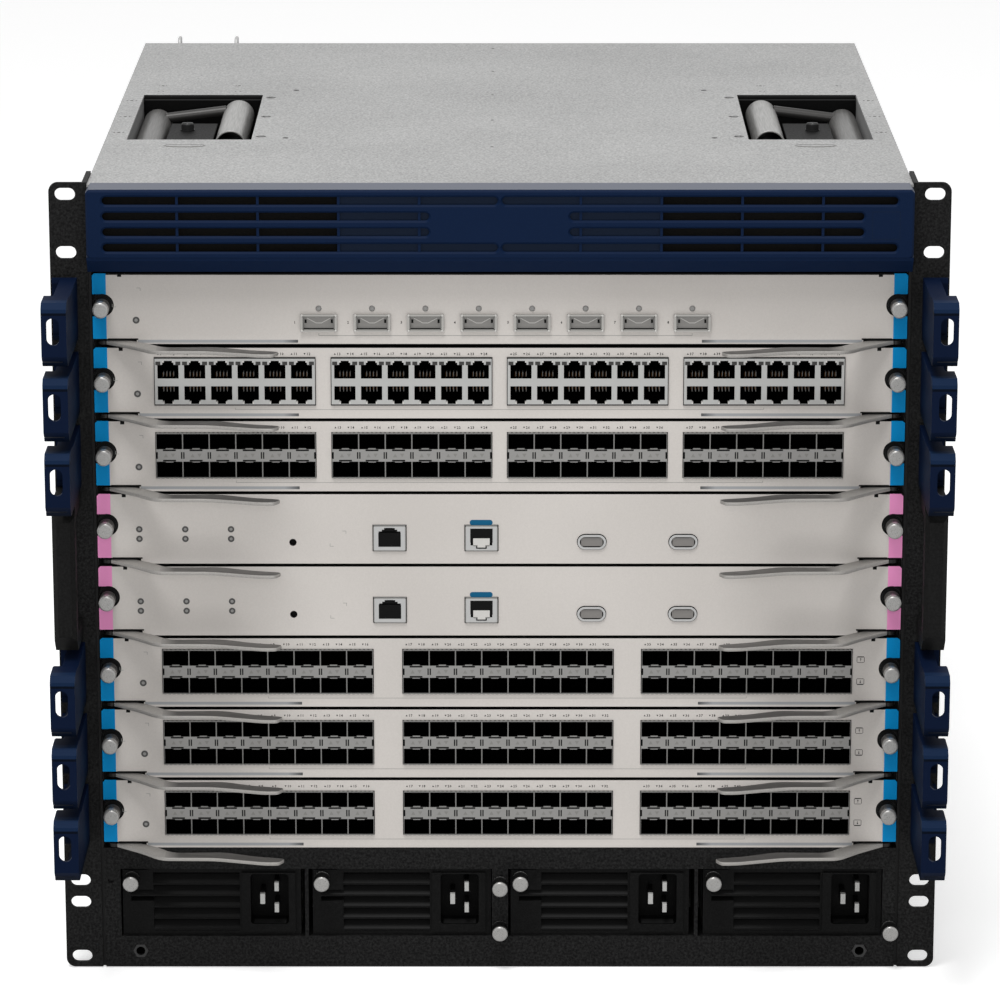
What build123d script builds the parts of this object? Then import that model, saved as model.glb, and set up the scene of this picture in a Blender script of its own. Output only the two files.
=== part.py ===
from build123d import *
import math
import os

os.makedirs("parts", exist_ok=True)

# Modular chassis switch, ten rack units high, in millimetres.
# The origin is the centre of the case's bottom face. The front looks along -Y and +Z is up.
# Eight line cards slide in from the front, four power supplies sit below them, and two fan
# trays and two fabric modules slide in from the rear.

# Case. Every other piece takes its place from it, so that all keep together when it changes
BODY_WIDTH = 442.0
BODY_DEPTH = 450.0
BODY_HEIGHT = 443.0
SHEET = 1.5
FIT = 0.3
RUNNING = 0.05

# How much wider and taller the case is than the one on which the places below were measured
WIDER = BODY_WIDTH / 442.0
TALLER = BODY_HEIGHT / 443.0

# Rack ears. A rack unit has holes at a seventh, a half and six sevenths of its height
EAR_SHEET = 2.0
EAR_FLANGE = 2.5
EAR_FLANGE_DEPTH = 30.0
EAR_CORNER = 5.0
EAR_HEIGHT = BODY_HEIGHT + 1.5
RACK_UNITS = 10
RACK_UNIT = EAR_HEIGHT / RACK_UNITS
RACK_WIDTH = BODY_WIDTH + 40.6
RACK_HOLE_SPACING = BODY_WIDTH + 23.1
RACK_HOLES_IN_UNIT = (1 / 7, 1 / 2, 6 / 7)
RACK_SLOT_LENGTH = 11.0
RACK_SLOT_HEIGHT = 6.8

# Places that follow from the case
SIDE_IN = BODY_WIDTH / 2 - SHEET
FRAME_EDGE = SIDE_IN - 0.1
CASE_FRONT = -BODY_DEPTH / 2
CASE_BACK = BODY_DEPTH / 2
FACE = CASE_FRONT - EAR_SHEET
ROOF_UNDER = BODY_HEIGHT - SHEET

# Line cards
CARD_COUNT = 8
CARD_PITCH = 40.8 * TALLER
PANEL_WIDTH = BODY_WIDTH - 4.0
PANEL_HEIGHT = CARD_PITCH - 1.5
PANEL_SHEET = 2.0
PANEL_CORNER = 1.2
PANEL_LIP = 9.0
PANEL_LIP_SHEET = 1.2
PANEL_LIP_INSET = 15.0
CARD_BAY_FLOOR = 70.0 * TALLER
SUPERVISORS = (4, 5)

# Circuit boards and what they plug into
MIDPLANE_Y = CASE_BACK - 73.0
MIDPLANE_SHEET = 3.0
SOCKET_DEPTH = 4.0
BOARD_WIDTH = PANEL_WIDTH - 30.0
BOARD_FRONT = CASE_FRONT + PANEL_LIP + 1
BOARD_BACK = MIDPLANE_Y - SOCKET_DEPTH - 1
BOARD_SHEET = 1.6
BOARD_DROP = 32.5 * TALLER
CONNECTOR_HEIGHT = 14.0
CONNECTOR_DEPTH = 18.0
CONNECTOR_LENGTH = 120.0 * WIDER

# Captive thumbscrews
SCREW_HEAD = 8.6
SCREW_HEAD_SIDES = 16
SCREW_HEAD_BEVEL = 0.7
SCREW_HEAD_LENGTH = 11.0
SCREW_SHANK = 5.0
SCREW_SHANK_SIDES = 8
SCREW_REACH = 14.0
SCREW_DROP = 17.5 * TALLER
SCREW_NOTCH = 6.05
SCREW_X = PANEL_WIDTH / 2 - 5.2
FRAME_SCREW_REACH = 11.3
FRAME_SCREWS = ((0, 49.0 * TALLER), (0, 23.0 * TALLER), (BODY_WIDTH / 2 - 4.7, 23.0 * TALLER))

# Ejector levers. Their outline is measured inwards from the panel's end
LEVER_SHEET = 2.0
LEVER_DROP = PANEL_HEIGHT - 1.1
LEVER_PIVOT_X = PANEL_WIDTH / 2 - 5.5
LEVER_PIVOT_Y = FACE + 3.6
LEVER_BOSS = 3.4
LEVER_PIN = 3.0
LEVER_SLOT_IN = PANEL_WIDTH / 2 - 23.5
LEVER_SLOT_HEIGHT = 3.3
LEVER_FRONT_EDGE = ((7.5, 0.3), (33.5, 24.3), (64.0, 24.0), (93.0, 31.3), (97.5, 30.2), (101.0, 25.2))
LEVER_BACK_EDGE = ((99.6, 24.0), (86.0, 22.0), (68.0, 14.2), (40.5, 15.0), (28.5, 4.3), (22.9, 0.6))

# Ports, from the top edge of a card down
PORT_PITCH = 14.4 * WIDER
PORT_DEPTH = 24.0
PORT_POCKET = 12.0
PORT_PROUD = 0.8
PORT_GAP = 0.4
CAGE_WALL = 1.0
JACK_WALL = 3.0
JACK_STEP = 2.2
WIDE_CAGES = 8
WIDE_CAGE_FIRST = -97.5 * WIDER
WIDE_CAGE_PITCH = 28.7 * WIDER
WIDE_CAGE_DROP = 27.1 * TALLER

# Front frame and power bay
POST_BACK = 11.0
POST_WIDTH = 12.5
STRIP_TOP = CARD_BAY_FLOOR - FIT
POWER_TOP = 57.4 * TALLER
POWER_FLOOR = 18.0 * TALLER
PILLAR = 9.0
NUT_X = 200.0 * WIDER
NUT_Z = 9.2 * TALLER
NUT_SIZE = 4.2
NUT_HOLE = 2.5

# Power supplies: the gaps beside and between them, from left to right
SUPPLY_GAPS = (11.5, 6.5, 10.9, 7.9, 9.2)
SUPPLY_WIDTH = (BODY_WIDTH - sum(SUPPLY_GAPS)) / 4
SUPPLY_LEFT = [sum(SUPPLY_GAPS[:i + 1]) + i * SUPPLY_WIDTH - BODY_WIDTH / 2 for i in range(4)]
SUPPLY_DEPTH = MIDPLANE_Y - CASE_FRONT - 77.0
SUPPLY_RISE = 0.5
SUPPLY_SCREW_X = 5.4
SUPPLY_SCREW_Z = 52.0 * TALLER
LOUVRE_PITCH = 6.7 * TALLER
LOUVRE_DEPTH = 8.0
INLET_PIN_SPACING = 13.0
INLET_DEPTH = 14.0
INLET_PROUD = 1.5

# Air intake bezel
BEZEL_WIDTH = BODY_WIDTH - 1.0
BEZEL_REACH = 14.0
BEZEL_BOTTOM = 397.5 * TALLER
BEZEL_WALL = 2.5
BEZEL_LIP = 8.0 * TALLER
BEZEL_SLOT = 3.8 * TALLER
BEZEL_SLOT_CORNER = 1.1
BEZEL_SLOT_PITCH = 8.5 * TALLER
BEZEL_SLOT_TOP = 437.4 * TALLER
BEZEL_SLOT_END = BEZEL_WIDTH / 2 - 8.7
BEZEL_SHORT_END = BEZEL_WIDTH / 2 - 26.5
BEZEL_WEB = 2.0
BEZEL_WEB_PITCH = 43.0 * WIDER
BEZEL_BLIND = 86.5 * WIDER

# Cable guides and side handles
GUIDE_IN = BODY_WIDTH / 2 + 6.0
GUIDE_WIDTH = 13.3
GUIDE_REACH = 70.0
GUIDE_HEIGHT = 34.6 * TALLER
GUIDE_DROP = 1.1
GUIDE_WALL = 2.4
GUIDE_HEAD = 20.0
HANDLE_REACH = 40.0
HANDLE_BAR = 9.5
HANDLE_MIDDLE = 235.0 * TALLER
HANDLE_LENGTH = 84.0 * TALLER

# Lifting handles in the roof
POCKET_OUT = BODY_WIDTH / 2 - 12.0
POCKET_IN = POCKET_OUT - 69.8
POCKET_FRONT = CASE_FRONT + 128.6
POCKET_BACK = POCKET_FRONT + 140.3
POCKET_FLOOR = ROOF_UNDER - 30.5
POCKET_SHEET = 1.2
BARREL_X = POCKET_OUT - 8.5
BARREL_Z = BODY_HEIGHT - 15.5
BARREL_SIZE = 17.0
HINGE_PIN = 8.0
GRIP_X = POCKET_IN + 13.8
GRIP_Z = BODY_HEIGHT - 12.0
GRIP_SIZE = 18.0
GRIP_BORE = 12.0
GRIP_SPAN = (POCKET_FRONT + 34.4, POCKET_BACK - 8.9)
ARM_SIZE = 6.0

# Rear modules
REAR_BAY = (16.0 * TALLER, BODY_HEIGHT - 7.0)
FABRIC_WIDTH = 34.5
FABRIC_PITCH = 35.5
FABRIC_FIRST = 21.2 - BODY_WIDTH / 2
FABRIC_DEPTH = 62.0
FAN_BAY = (79.0 - BODY_WIDTH / 2, BODY_WIDTH / 2 - 6.0)
FAN_DEPTH = 58.0
FAN_ROOM = min(FAN_BAY[1] - FAN_BAY[0], REAR_BAY[1] - REAR_BAY[0]) / 2
FAN_BORE = FAN_ROOM - 14.5
FAN_TIP_GAP = 3.0
FAN_HUB = 62.0
FAN_BLADES = 7
FAN_SHAFT = 6.0
FAN_THICK = 30.0
FAN_BACK = CASE_BACK - 12.0
REAR_COVER = 2.0
BOW_SHEET = 2.8
BOW_REACH = 26.0
BOW_LENGTH = 92.0


def block(x, y, z):
    """A box between the pairs of ends x, y and z."""
    size = Box(abs(x[1] - x[0]), abs(y[1] - y[0]), abs(z[1] - z[0]))
    return Pos((x[0] + x[1]) / 2, (y[0] + y[1]) / 2, (z[0] + z[1]) / 2) * size


def window(x, z):
    """A rectangle in a front view, between the pairs of ends x and z."""
    return Pos((x[0] + x[1]) / 2, (z[0] + z[1]) / 2) * Rectangle(abs(x[1] - x[0]), abs(z[1] - z[0]))


def plate(sketch, front, back):
    """A front-view sketch given thickness from front to back along Y."""
    view = Plane(origin=(0, front, 0), x_dir=(1, 0, 0), z_dir=(0, -1, 0))
    return extrude(view * sketch, amount=front - back)


def bar(sketch, left, right):
    """A side-view sketch, drawn in Y and Z, given length from left to right along X."""
    view = Plane(origin=(left, 0, 0), x_dir=(0, 1, 0), z_dir=(1, 0, 0))
    return extrude(view * sketch, amount=right - left)


def layer(sketch, bottom, top):
    """A plan sketch given height from bottom to top."""
    return extrude(Pos(0, 0, bottom) * sketch, amount=top - bottom)


def rod(x, z, radius, front, back):
    """A round rod along Y."""
    return plate(Pos(x, z) * Circle(radius), front, back)


def outline(*points):
    """A closed flat shape through the points."""
    return make_face(Polyline(*points, close=True))


def mirrored(solid):
    """The same piece for the other side of the case."""
    return mirror(solid, about=Plane.YZ)


def write(node, *solids):
    """Write one node, whose solids stay separate."""
    export_step(Compound(children=list(solids)), "parts/" + node + ".step")


def card_top(card):
    """Height of the top edge of a card's panel; card 1 is the highest."""
    lowest = CARD_BAY_FLOOR + PANEL_HEIGHT
    return lowest + (CARD_COUNT - card) * CARD_PITCH


def below(card, drop):
    """Height of a place on a card from its measured distance below the top edge."""
    return card_top(card) - drop * TALLER


def rack_hole(unit, hole):
    """Height of a rack hole: units count from 1 at the bottom, holes from 0."""
    return (unit - 1 + RACK_HOLES_IN_UNIT[hole]) * RACK_UNIT


def case_shell():
    """Bottom and two sides, folded from one sheet."""
    outer = window((-BODY_WIDTH / 2, BODY_WIDTH / 2), (0, ROOF_UNDER))
    inner = window((-SIDE_IN, SIDE_IN), (SHEET, BODY_HEIGHT))
    return plate(outer - inner, CASE_FRONT, CASE_BACK)


def roof():
    """Top sheet with its two handle pockets and their fixing holes cut out."""
    sheet = block((-BODY_WIDTH / 2, BODY_WIDTH / 2), (CASE_FRONT, CASE_BACK), (ROOF_UNDER, BODY_HEIGHT))
    hole_ys = [POCKET_FRONT + 9.4, POCKET_FRONT + 70.4, POCKET_FRONT + 131.4]
    for side in (-1, 1):
        mouth = (side * POCKET_IN, side * POCKET_OUT)
        sheet -= block(mouth, (POCKET_FRONT, POCKET_BACK), (ROOF_UNDER, BODY_HEIGHT))
        for y in hole_ys:
            sheet -= Pos(side * (POCKET_IN - 5), y, ROOF_UNDER) * Cylinder(2.9, 2 * SHEET)
        inside = side * (SIDE_IN - FIT)
        lip = (inside, inside - side * SHEET)
        sheet += block(lip, (CASE_FRONT + 2, CASE_BACK - 4), (ROOF_UNDER - 9, ROOF_UNDER))
    return sheet


def handle_pocket():
    """Folded tray under the roof, with the handle's hinge pin and a shelf across its floor."""
    x = (POCKET_IN - 3, SIDE_IN - 3)
    y = (POCKET_FRONT - POCKET_SHEET, POCKET_BACK + POCKET_SHEET)
    tray = block(x, y, (POCKET_FLOOR, ROOF_UNDER))
    tray -= block((x[0] + POCKET_SHEET, x[1] - POCKET_SHEET), (POCKET_FRONT, POCKET_BACK),
                  (POCKET_FLOOR + POCKET_SHEET, ROOF_UNDER))
    tray += rod(BARREL_X, BARREL_Z, HINGE_PIN / 2, POCKET_FRONT, POCKET_BACK)
    tray += plate(shelf_section(), POCKET_FRONT + 28.4, POCKET_BACK - 35.9)
    middle = POCKET_FLOOR + POCKET_SHEET + 10
    return tray + Pos(POCKET_OUT - 28, POCKET_FRONT + 59.4, middle) * Cylinder(4, 6)


def shelf_section():
    """Hat-shaped section of the pocket's shelf: one sheet with a foot at each side."""
    low = POCKET_FLOOR + POCKET_SHEET
    left, right = POCKET_OUT - 44, POCKET_OUT - 18
    foot, sheet, rise = 4, 1.5, 6
    lower = [(left, low), (left + foot, low), (left + foot, low + rise), (right - foot, low + rise),
             (right - foot, low), (right, low)]
    upper = [(right, low + sheet), (right - foot + sheet, low + sheet), (right - foot + sheet, low + rise + sheet),
             (left + foot - sheet, low + rise + sheet), (left + foot - sheet, low + sheet), (left, low + sheet)]
    return outline(*lower, *upper)


def lift_handle():
    """Swing handle: a barrel on the pin, a tube grip, and two round arms between them."""
    front, back = GRIP_SPAN
    barrel = rod(BARREL_X, BARREL_Z, BARREL_SIZE / 2, front - 12, back)
    grip = rod(GRIP_X, GRIP_Z, GRIP_SIZE / 2, front, back)
    handle = barrel + grip
    lean = math.degrees(math.atan2(GRIP_Z - BARREL_Z, BARREL_X - GRIP_X))
    reach = math.hypot(GRIP_Z - BARREL_Z, BARREL_X - GRIP_X)
    middle = ((GRIP_X + BARREL_X) / 2, (GRIP_Z + BARREL_Z) / 2)
    for y in (front + 8, back - 8):
        handle += Pos(middle[0], y, middle[1]) * Rot(0, 90 + lean, 0) * Cylinder(ARM_SIZE / 2, reach - GRIP_SIZE / 2)
    handle -= rod(BARREL_X, BARREL_Z, HINGE_PIN / 2 + RUNNING, front - 20, back + 10)
    return handle - rod(GRIP_X, GRIP_Z, GRIP_BORE / 2, front - 1, back + 1)


def rack_ear():
    """Right-hand rack ear: an angle with obround slots on the rack's holes."""
    inner, outer = BODY_WIDTH / 2, RACK_WIDTH / 2
    face = window((inner, outer), (0, EAR_HEIGHT))
    corners = face.vertices().sort_by(Axis.X)[-2:]
    face = fillet(corners, EAR_CORNER)
    places = [(1, 0), (1, 2), (2, 0), (RACK_UNITS, 0), (RACK_UNITS, 2)]
    slots = [Pos(RACK_HOLE_SPACING / 2, rack_hole(*place)) * SlotOverall(RACK_SLOT_LENGTH, RACK_SLOT_HEIGHT)
             for place in places]
    ear = plate(face - slots, FACE, CASE_FRONT)
    return ear + block((inner, inner + EAR_FLANGE), (CASE_FRONT, CASE_FRONT + EAR_FLANGE_DEPTH), (0, EAR_HEIGHT))


def front_frame():
    """Welded frame: the card bay's posts, and the plate round the power supplies."""
    edge = FRAME_EDGE
    face = window((-edge, edge), (0, STRIP_TOP))
    walls = power_walls()
    for left, right in zip(walls[:-1], walls[1:]):
        face -= window((left[1], right[0]), (POWER_FLOOR, POWER_TOP))
    for x in (-NUT_X, NUT_X):
        face -= Pos(x, NUT_Z) * RegularPolygon(NUT_SIZE + 0.1, 6)
    face -= Pos(5.3 - BODY_WIDTH / 2, 51 * TALLER) * Circle(1.8)
    for x, z in FRAME_SCREWS:
        face -= Pos(x, z) * Circle(SCREW_SHANK / 2 + RUNNING)
    frame = plate(face, FACE, CASE_FRONT)
    frame += block((-edge, edge), (CASE_FRONT, CASE_FRONT + POST_BACK), (STRIP_TOP - SHEET, STRIP_TOP))
    for side in (-1, 1):
        post = (side * (edge - POST_WIDTH), side * edge)
        frame += block(post, (CASE_FRONT + POST_BACK - SHEET, CASE_FRONT + POST_BACK),
                       (STRIP_TOP - SHEET, BEZEL_BOTTOM - FIT))
    return frame


def power_walls():
    """The upright strips between the power supplies, as pairs of ends along X."""
    gaps = [(SUPPLY_LEFT[0] + SUPPLY_WIDTH, SUPPLY_LEFT[1]), (SUPPLY_LEFT[2] + SUPPLY_WIDTH, SUPPLY_LEFT[3])]
    strips = [((low + high) / 2 - 1, (low + high) / 2 + 1) for low, high in gaps]
    first = SUPPLY_LEFT[0] - 0.9
    last = SUPPLY_LEFT[3] + SUPPLY_WIDTH + 0.4
    return [(-FRAME_EDGE, first), strips[0], (-PILLAR / 2, PILLAR / 2), strips[1], (last, FRAME_EDGE)]


def power_bay():
    """Sheet tunnel behind the front frame that carries the four supplies and the card deck."""
    tunnel = window((-FRAME_EDGE, FRAME_EDGE), (SHEET, POWER_TOP + SHEET + FIT))
    walls = power_walls()
    for left, right in zip(walls[:-1], walls[1:]):
        tunnel -= window((left[1], right[0]), (POWER_FLOOR, POWER_TOP + FIT))
        tunnel -= window((left[1], right[0]), (2 * SHEET, POWER_FLOOR - SHEET))
    return plate(tunnel, CASE_FRONT, CASE_FRONT + SUPPLY_DEPTH + 20)


def card_rail():
    """Right-hand wall of card guides: a side plate with one shelf under each board's edge."""
    back = MIDPLANE_Y - SOCKET_DEPTH
    front = CASE_FRONT + POST_BACK
    rail = block((SIDE_IN - SHEET, SIDE_IN), (front, back), (STRIP_TOP, BEZEL_BOTTOM - FIT))
    for card in range(1, CARD_COUNT + 1):
        top = card_top(card) - BOARD_DROP - BOARD_SHEET
        rail += block((BOARD_WIDTH / 2 - 4, SIDE_IN - SHEET), (front, back), (top - SHEET, top))
    return rail


def connector_ends():
    """Ends along X of the two connectors that join each board to the midplane."""
    half = CONNECTOR_LENGTH / 2
    return [(x - half, x + half) for x in (-CONNECTOR_LENGTH, CONNECTOR_LENGTH)]


def midplane():
    """Upright board that every card and rear module plugs into."""
    back = MIDPLANE_Y + MIDPLANE_SHEET
    board = block((-SIDE_IN + 2, SIDE_IN - 2), (MIDPLANE_Y, back), (POWER_TOP + 2 * SHEET, ROOF_UNDER - 2))
    for card in range(1, CARD_COUNT + 1):
        low = card_top(card) - BOARD_DROP
        for ends in connector_ends():
            board += block(ends, (MIDPLANE_Y - SOCKET_DEPTH, MIDPLANE_Y), (low, low + CONNECTOR_HEIGHT))
    return board


def thumbscrew(x, z, shank_end, reach=SCREW_REACH):
    """Captive thumbscrew: a many-sided gripping head with a bevelled front edge, and its shank."""
    tip = FACE - reach
    head_end = tip + SCREW_HEAD_LENGTH
    head = plate(Pos(x, z) * RegularPolygon(SCREW_HEAD / 2, SCREW_HEAD_SIDES), tip, head_end)
    head = chamfer(head.faces().sort_by(Axis.Y)[0].edges(), SCREW_HEAD_BEVEL)
    return head + plate(Pos(x, z) * RegularPolygon(SCREW_SHANK / 2, SCREW_SHANK_SIDES), head_end, shank_end)


def end_bracket(card):
    """Black bracket behind a panel's right end, forked round the captive screw, with the lever's pin."""
    top = card_top(card)
    low = top - LEVER_DROP + LEVER_SHEET / 2 + FIT
    x = (PANEL_WIDTH / 2 - 14.5, PANEL_WIDTH / 2 - 0.3)
    bracket = block(x, (CASE_FRONT, CASE_FRONT + 5), (low, top - 5))
    fork = SCREW_SHANK / 2 + RUNNING
    screw_z = top - SCREW_DROP
    bracket -= block((SCREW_X - fork, x[1]), (CASE_FRONT, CASE_FRONT + 5), (screw_z - fork, screw_z + fork))
    pin_length = LEVER_SHEET + 2 * FIT
    pin = Pos(LEVER_PIVOT_X, LEVER_PIVOT_Y, low - pin_length / 2) * Cylinder(LEVER_PIN / 2, pin_length)
    return bracket + pin


def lever(card):
    """Right-hand ejector lever: a flat blade that bows forward from its eye and back to its tip."""
    end = PANEL_WIDTH / 2
    edges = [(end - inset, FACE - reach) for inset, reach in LEVER_FRONT_EDGE + LEVER_BACK_EDGE]
    eye = [(LEVER_PIVOT_X - 8.0, LEVER_PIVOT_Y + LEVER_BOSS - 1.5), (LEVER_PIVOT_X, LEVER_PIVOT_Y + LEVER_BOSS),
           (LEVER_PIVOT_X + LEVER_BOSS, LEVER_PIVOT_Y)]
    blade = outline(*edges, *eye)
    blade -= Pos(LEVER_PIVOT_X, LEVER_PIVOT_Y) * Circle(LEVER_PIN / 2 + RUNNING)
    middle = card_top(card) - LEVER_DROP
    return layer(blade, middle - LEVER_SHEET / 2, middle + LEVER_SHEET / 2)


def port_groups(card):
    """Groups of ports on a card, as pairs of (left end, number of ports across)."""
    if card in (2, 3):
        return [(x * WIDER, 6) for x in (-186.2, -90.9, 4.1, 99.3)]
    if card > max(SUPERVISORS):
        return [(x * WIDER, 8) for x in (-184.8, -53.2, 77.6)]
    return []


def port_block_ends(card):
    """Heights of a port block's bottom and top edges."""
    return (below(card, 31.7), below(card, 5.7 if card == 2 else 6.6))


def jack_openings(card, left, count):
    """Two rows of stepped jack mouths, the upper ones with their notch up."""
    upper = (below(card, 17.0), below(card, 7.2))
    lower = (below(card, 31.1), below(card, 21.3))
    mouths = []
    for column in range(count):
        x = left + (column + 0.5) * PORT_PITCH
        wide = (x - PORT_PITCH / 2 + JACK_WALL / 2, x + PORT_PITCH / 2 - JACK_WALL / 2)
        mouths.append(window(wide, (upper[0], upper[1] - JACK_STEP)))
        mouths.append(window((x - 3, x + 3), (upper[1] - JACK_STEP, upper[1])))
        mouths.append(window(wide, (lower[0] + JACK_STEP, lower[1])))
        mouths.append(window((x - 3, x + 3), (lower[0], lower[0] + JACK_STEP)))
    return mouths


def cage_openings(card, left, count):
    """Two rows of plain cage mouths with a wide band between them."""
    rows = [(below(card, 15.6), below(card, 7.1)), (below(card, 31.2), below(card, 22.5))]
    mouths = []
    for column in range(count):
        x = (left + column * PORT_PITCH + CAGE_WALL / 2, left + (column + 1) * PORT_PITCH - CAGE_WALL / 2)
        mouths += [window(x, row) for row in rows]
    return mouths


def port_block(card, left, count):
    """One block of ports behind a card's panel, its mouths sunk in its front."""
    front = FACE - PORT_PROUD
    body = block((left, left + count * PORT_PITCH), (front, front + PORT_DEPTH), port_block_ends(card))
    mouths = jack_openings(card, left, count) if card == 2 else cage_openings(card, left, count)
    return body - plate(Sketch() + mouths, front, front + PORT_POCKET)


def wide_cage(card, column):
    """One of the wide ports of the first card: a collared metal cage."""
    x = WIDE_CAGE_FIRST + WIDE_CAGE_PITCH * column
    z = card_top(card) - WIDE_CAGE_DROP
    cage = block((x - 9.9, x + 9.9), (FACE - 1.6, FACE), (z - 4.75, z + 4.75))
    cage += block((x - 9.2, x + 9.2), (FACE, FACE + 60), (z - 4.2, z + 4.2))
    return cage - block((x - 8.2, x + 8.2), (FACE - 1.6, FACE + 10), (z - 3.4, z + 3.4))


def supervisor_ports(card):
    """Two jacks and two rounded service ports of a supervisor card, as (sketch, mouth) pairs."""
    ports = []
    for left, notch in ((-69.0 * WIDER, 1), (-19.0 * WIDER, -1)):
        frame = window((left, left + 17.8), (below(card, 32.0), below(card, 17.7)))
        main = (below(card, 28.8), below(card, 20.9))
        step = (main[1], below(card, 19.0)) if notch > 0 else (below(card, 30.7), main[0])
        ports.append((frame, window((left + 3, left + 14.8), main) + window((left + 6, left + 11.8), step)))
    for left in (42.2 * WIDER, 92.0 * WIDER):
        middle = Pos(left + 7.75, below(card, 27.0))
        ports.append((middle * SlotOverall(15.5, 8.2), middle * SlotOverall(13.1, 5.8)))
    return ports


def service_block(port, mouth):
    """A single port behind its own hole in the panel."""
    front = FACE - PORT_PROUD
    return plate(port, front, front + 18) - plate(mouth, front, front + PORT_POCKET)


def port_windows(card):
    """Holes in a card's panel that its ports look out of."""
    low, high = port_block_ends(card)
    holes = [window((left - PORT_GAP, left + count * PORT_PITCH + PORT_GAP), (low - PORT_GAP, high + PORT_GAP))
             for left, count in port_groups(card)]
    if card == 1:
        z = card_top(card) - WIDE_CAGE_DROP
        middles = [WIDE_CAGE_FIRST + WIDE_CAGE_PITCH * column for column in range(WIDE_CAGES)]
        holes = [window((x - 9.4, x + 9.4), (z - 4.4, z + 4.4)) for x in middles]
    if card in SUPERVISORS:
        holes = [offset(port, PORT_GAP, kind=Kind.INTERSECTION) for port, mouth in supervisor_ports(card)]
        holes.append(Pos(-112.7 * WIDER, below(card, 27.3)) * Circle(2))
    return holes


def card_panel(card):
    """Folded card front with its port windows, screw notches and lever slots."""
    top = card_top(card)
    bottom = top - PANEL_HEIGHT
    half = PANEL_WIDTH / 2
    face = chamfer(window((-half, half), (bottom, top)).vertices(), PANEL_CORNER)
    for side in (-1, 1):
        x, z = side * SCREW_X, top - SCREW_DROP
        face -= Pos(x, z) * Circle(SCREW_NOTCH)
        face -= window((x, side * half), (z - SCREW_NOTCH, z + SCREW_NOTCH))
        face -= window((side * LEVER_SLOT_IN, side * half), (bottom, bottom + LEVER_SLOT_HEIGHT))
    panel = plate(face - port_windows(card), FACE, FACE + PANEL_SHEET)
    lip_back = CASE_FRONT + PANEL_LIP
    upper = half - PANEL_LIP_INSET
    panel += block((-upper, upper), (CASE_FRONT, lip_back), (top - PANEL_LIP_SHEET, top))
    lower = LEVER_SLOT_IN - 3
    return panel + block((-lower, lower), (CASE_FRONT, lip_back), (bottom, bottom + PANEL_LIP_SHEET))


def card_front(card):
    """A card's panel with its two end brackets and captive screws."""
    bracket = end_bracket(card)
    screw = thumbscrew(SCREW_X, card_top(card) - SCREW_DROP, CASE_FRONT + POST_BACK - SHEET - FIT)
    return [card_panel(card), bracket, mirrored(bracket), screw, mirrored(screw)]


def card_board(card):
    """Circuit board of a card with its port blocks and its two rear connectors."""
    top = card_top(card) - BOARD_DROP
    board = block((-BOARD_WIDTH / 2, BOARD_WIDTH / 2), (BOARD_FRONT, BOARD_BACK), (top - BOARD_SHEET, top))
    plug_end = MIDPLANE_Y - SOCKET_DEPTH - FIT
    for ends in connector_ends():
        board += block(ends, (plug_end - CONNECTOR_DEPTH, plug_end), (top, top + CONNECTOR_HEIGHT))
    pieces = [port_block(card, left, count) for left, count in port_groups(card)]
    if card == 1:
        pieces = [wide_cage(card, column) for column in range(WIDE_CAGES)]
    if card in SUPERVISORS:
        pieces = [service_block(port, mouth) for port, mouth in supervisor_ports(card)]
    return [board] + pieces


def intake_bezel():
    """Moulded air intake cover: a hollow front with four rows of slots and a slanted lower lip."""
    front = FACE - BEZEL_REACH
    half = BEZEL_WIDTH / 2
    lip_top = BEZEL_BOTTOM + BEZEL_LIP
    side = outline((front, lip_top), (front, BODY_HEIGHT - 1), (front + 1, BODY_HEIGHT), (CASE_FRONT, BODY_HEIGHT),
                   (CASE_FRONT, BEZEL_BOTTOM), (front + 6, BEZEL_BOTTOM))
    cover = bar(side, -half, half)
    corners = [e for e in cover.edges().filter_by(Axis.Z) if e.center().Y < front + 0.1]
    cover = fillet(corners, 3)
    wall = BEZEL_WALL
    hollow = (front + wall, CASE_FRONT)
    height = (BEZEL_BOTTOM + wall, BODY_HEIGHT - wall)
    for sign in (-1, 1):
        cover -= block((sign * (BEZEL_BLIND + 1), sign * (half - wall)), hollow, (lip_top, height[1]))
    cover -= block((-half + wall, half - wall), (front + 7, CASE_FRONT), height)
    return cover - plate(Sketch() + bezel_slots(), front, front + wall)


def bezel_slots():
    """Front view of the intake slots: the outer rows run full width, the inner ones leave the middle."""
    slots = []
    cuts = [i * BEZEL_WEB_PITCH for i in range(5)] + [BEZEL_SLOT_END + BEZEL_WEB / 2]
    for row in range(4):
        z = BEZEL_SLOT_TOP - row * BEZEL_SLOT_PITCH
        for side in (-1, 1):
            for low, high in zip(cuts[:-1], cuts[1:]):
                if row in (1, 2) and low == 0:
                    continue
                if row in (1, 2) and side > 0 and high > cuts[4]:
                    high = BEZEL_SHORT_END + BEZEL_WEB / 2
                ends = (side * (low + BEZEL_WEB / 2), side * (high - BEZEL_WEB / 2))
                slot = window(ends, (z - BEZEL_SLOT / 2, z + BEZEL_SLOT / 2))
                slots.append(chamfer(slot.vertices(), BEZEL_SLOT_CORNER))
    return slots


def intake_filter():
    """Foam filter that rests in the bezel behind its slots."""
    half = BEZEL_WIDTH / 2 - BEZEL_WALL - FIT
    height = (BEZEL_BOTTOM + BEZEL_WALL, BODY_HEIGHT - BEZEL_WALL)
    front = FACE - BEZEL_REACH + 7.2
    return block((-half, half), (front, front + 5), height)


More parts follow.
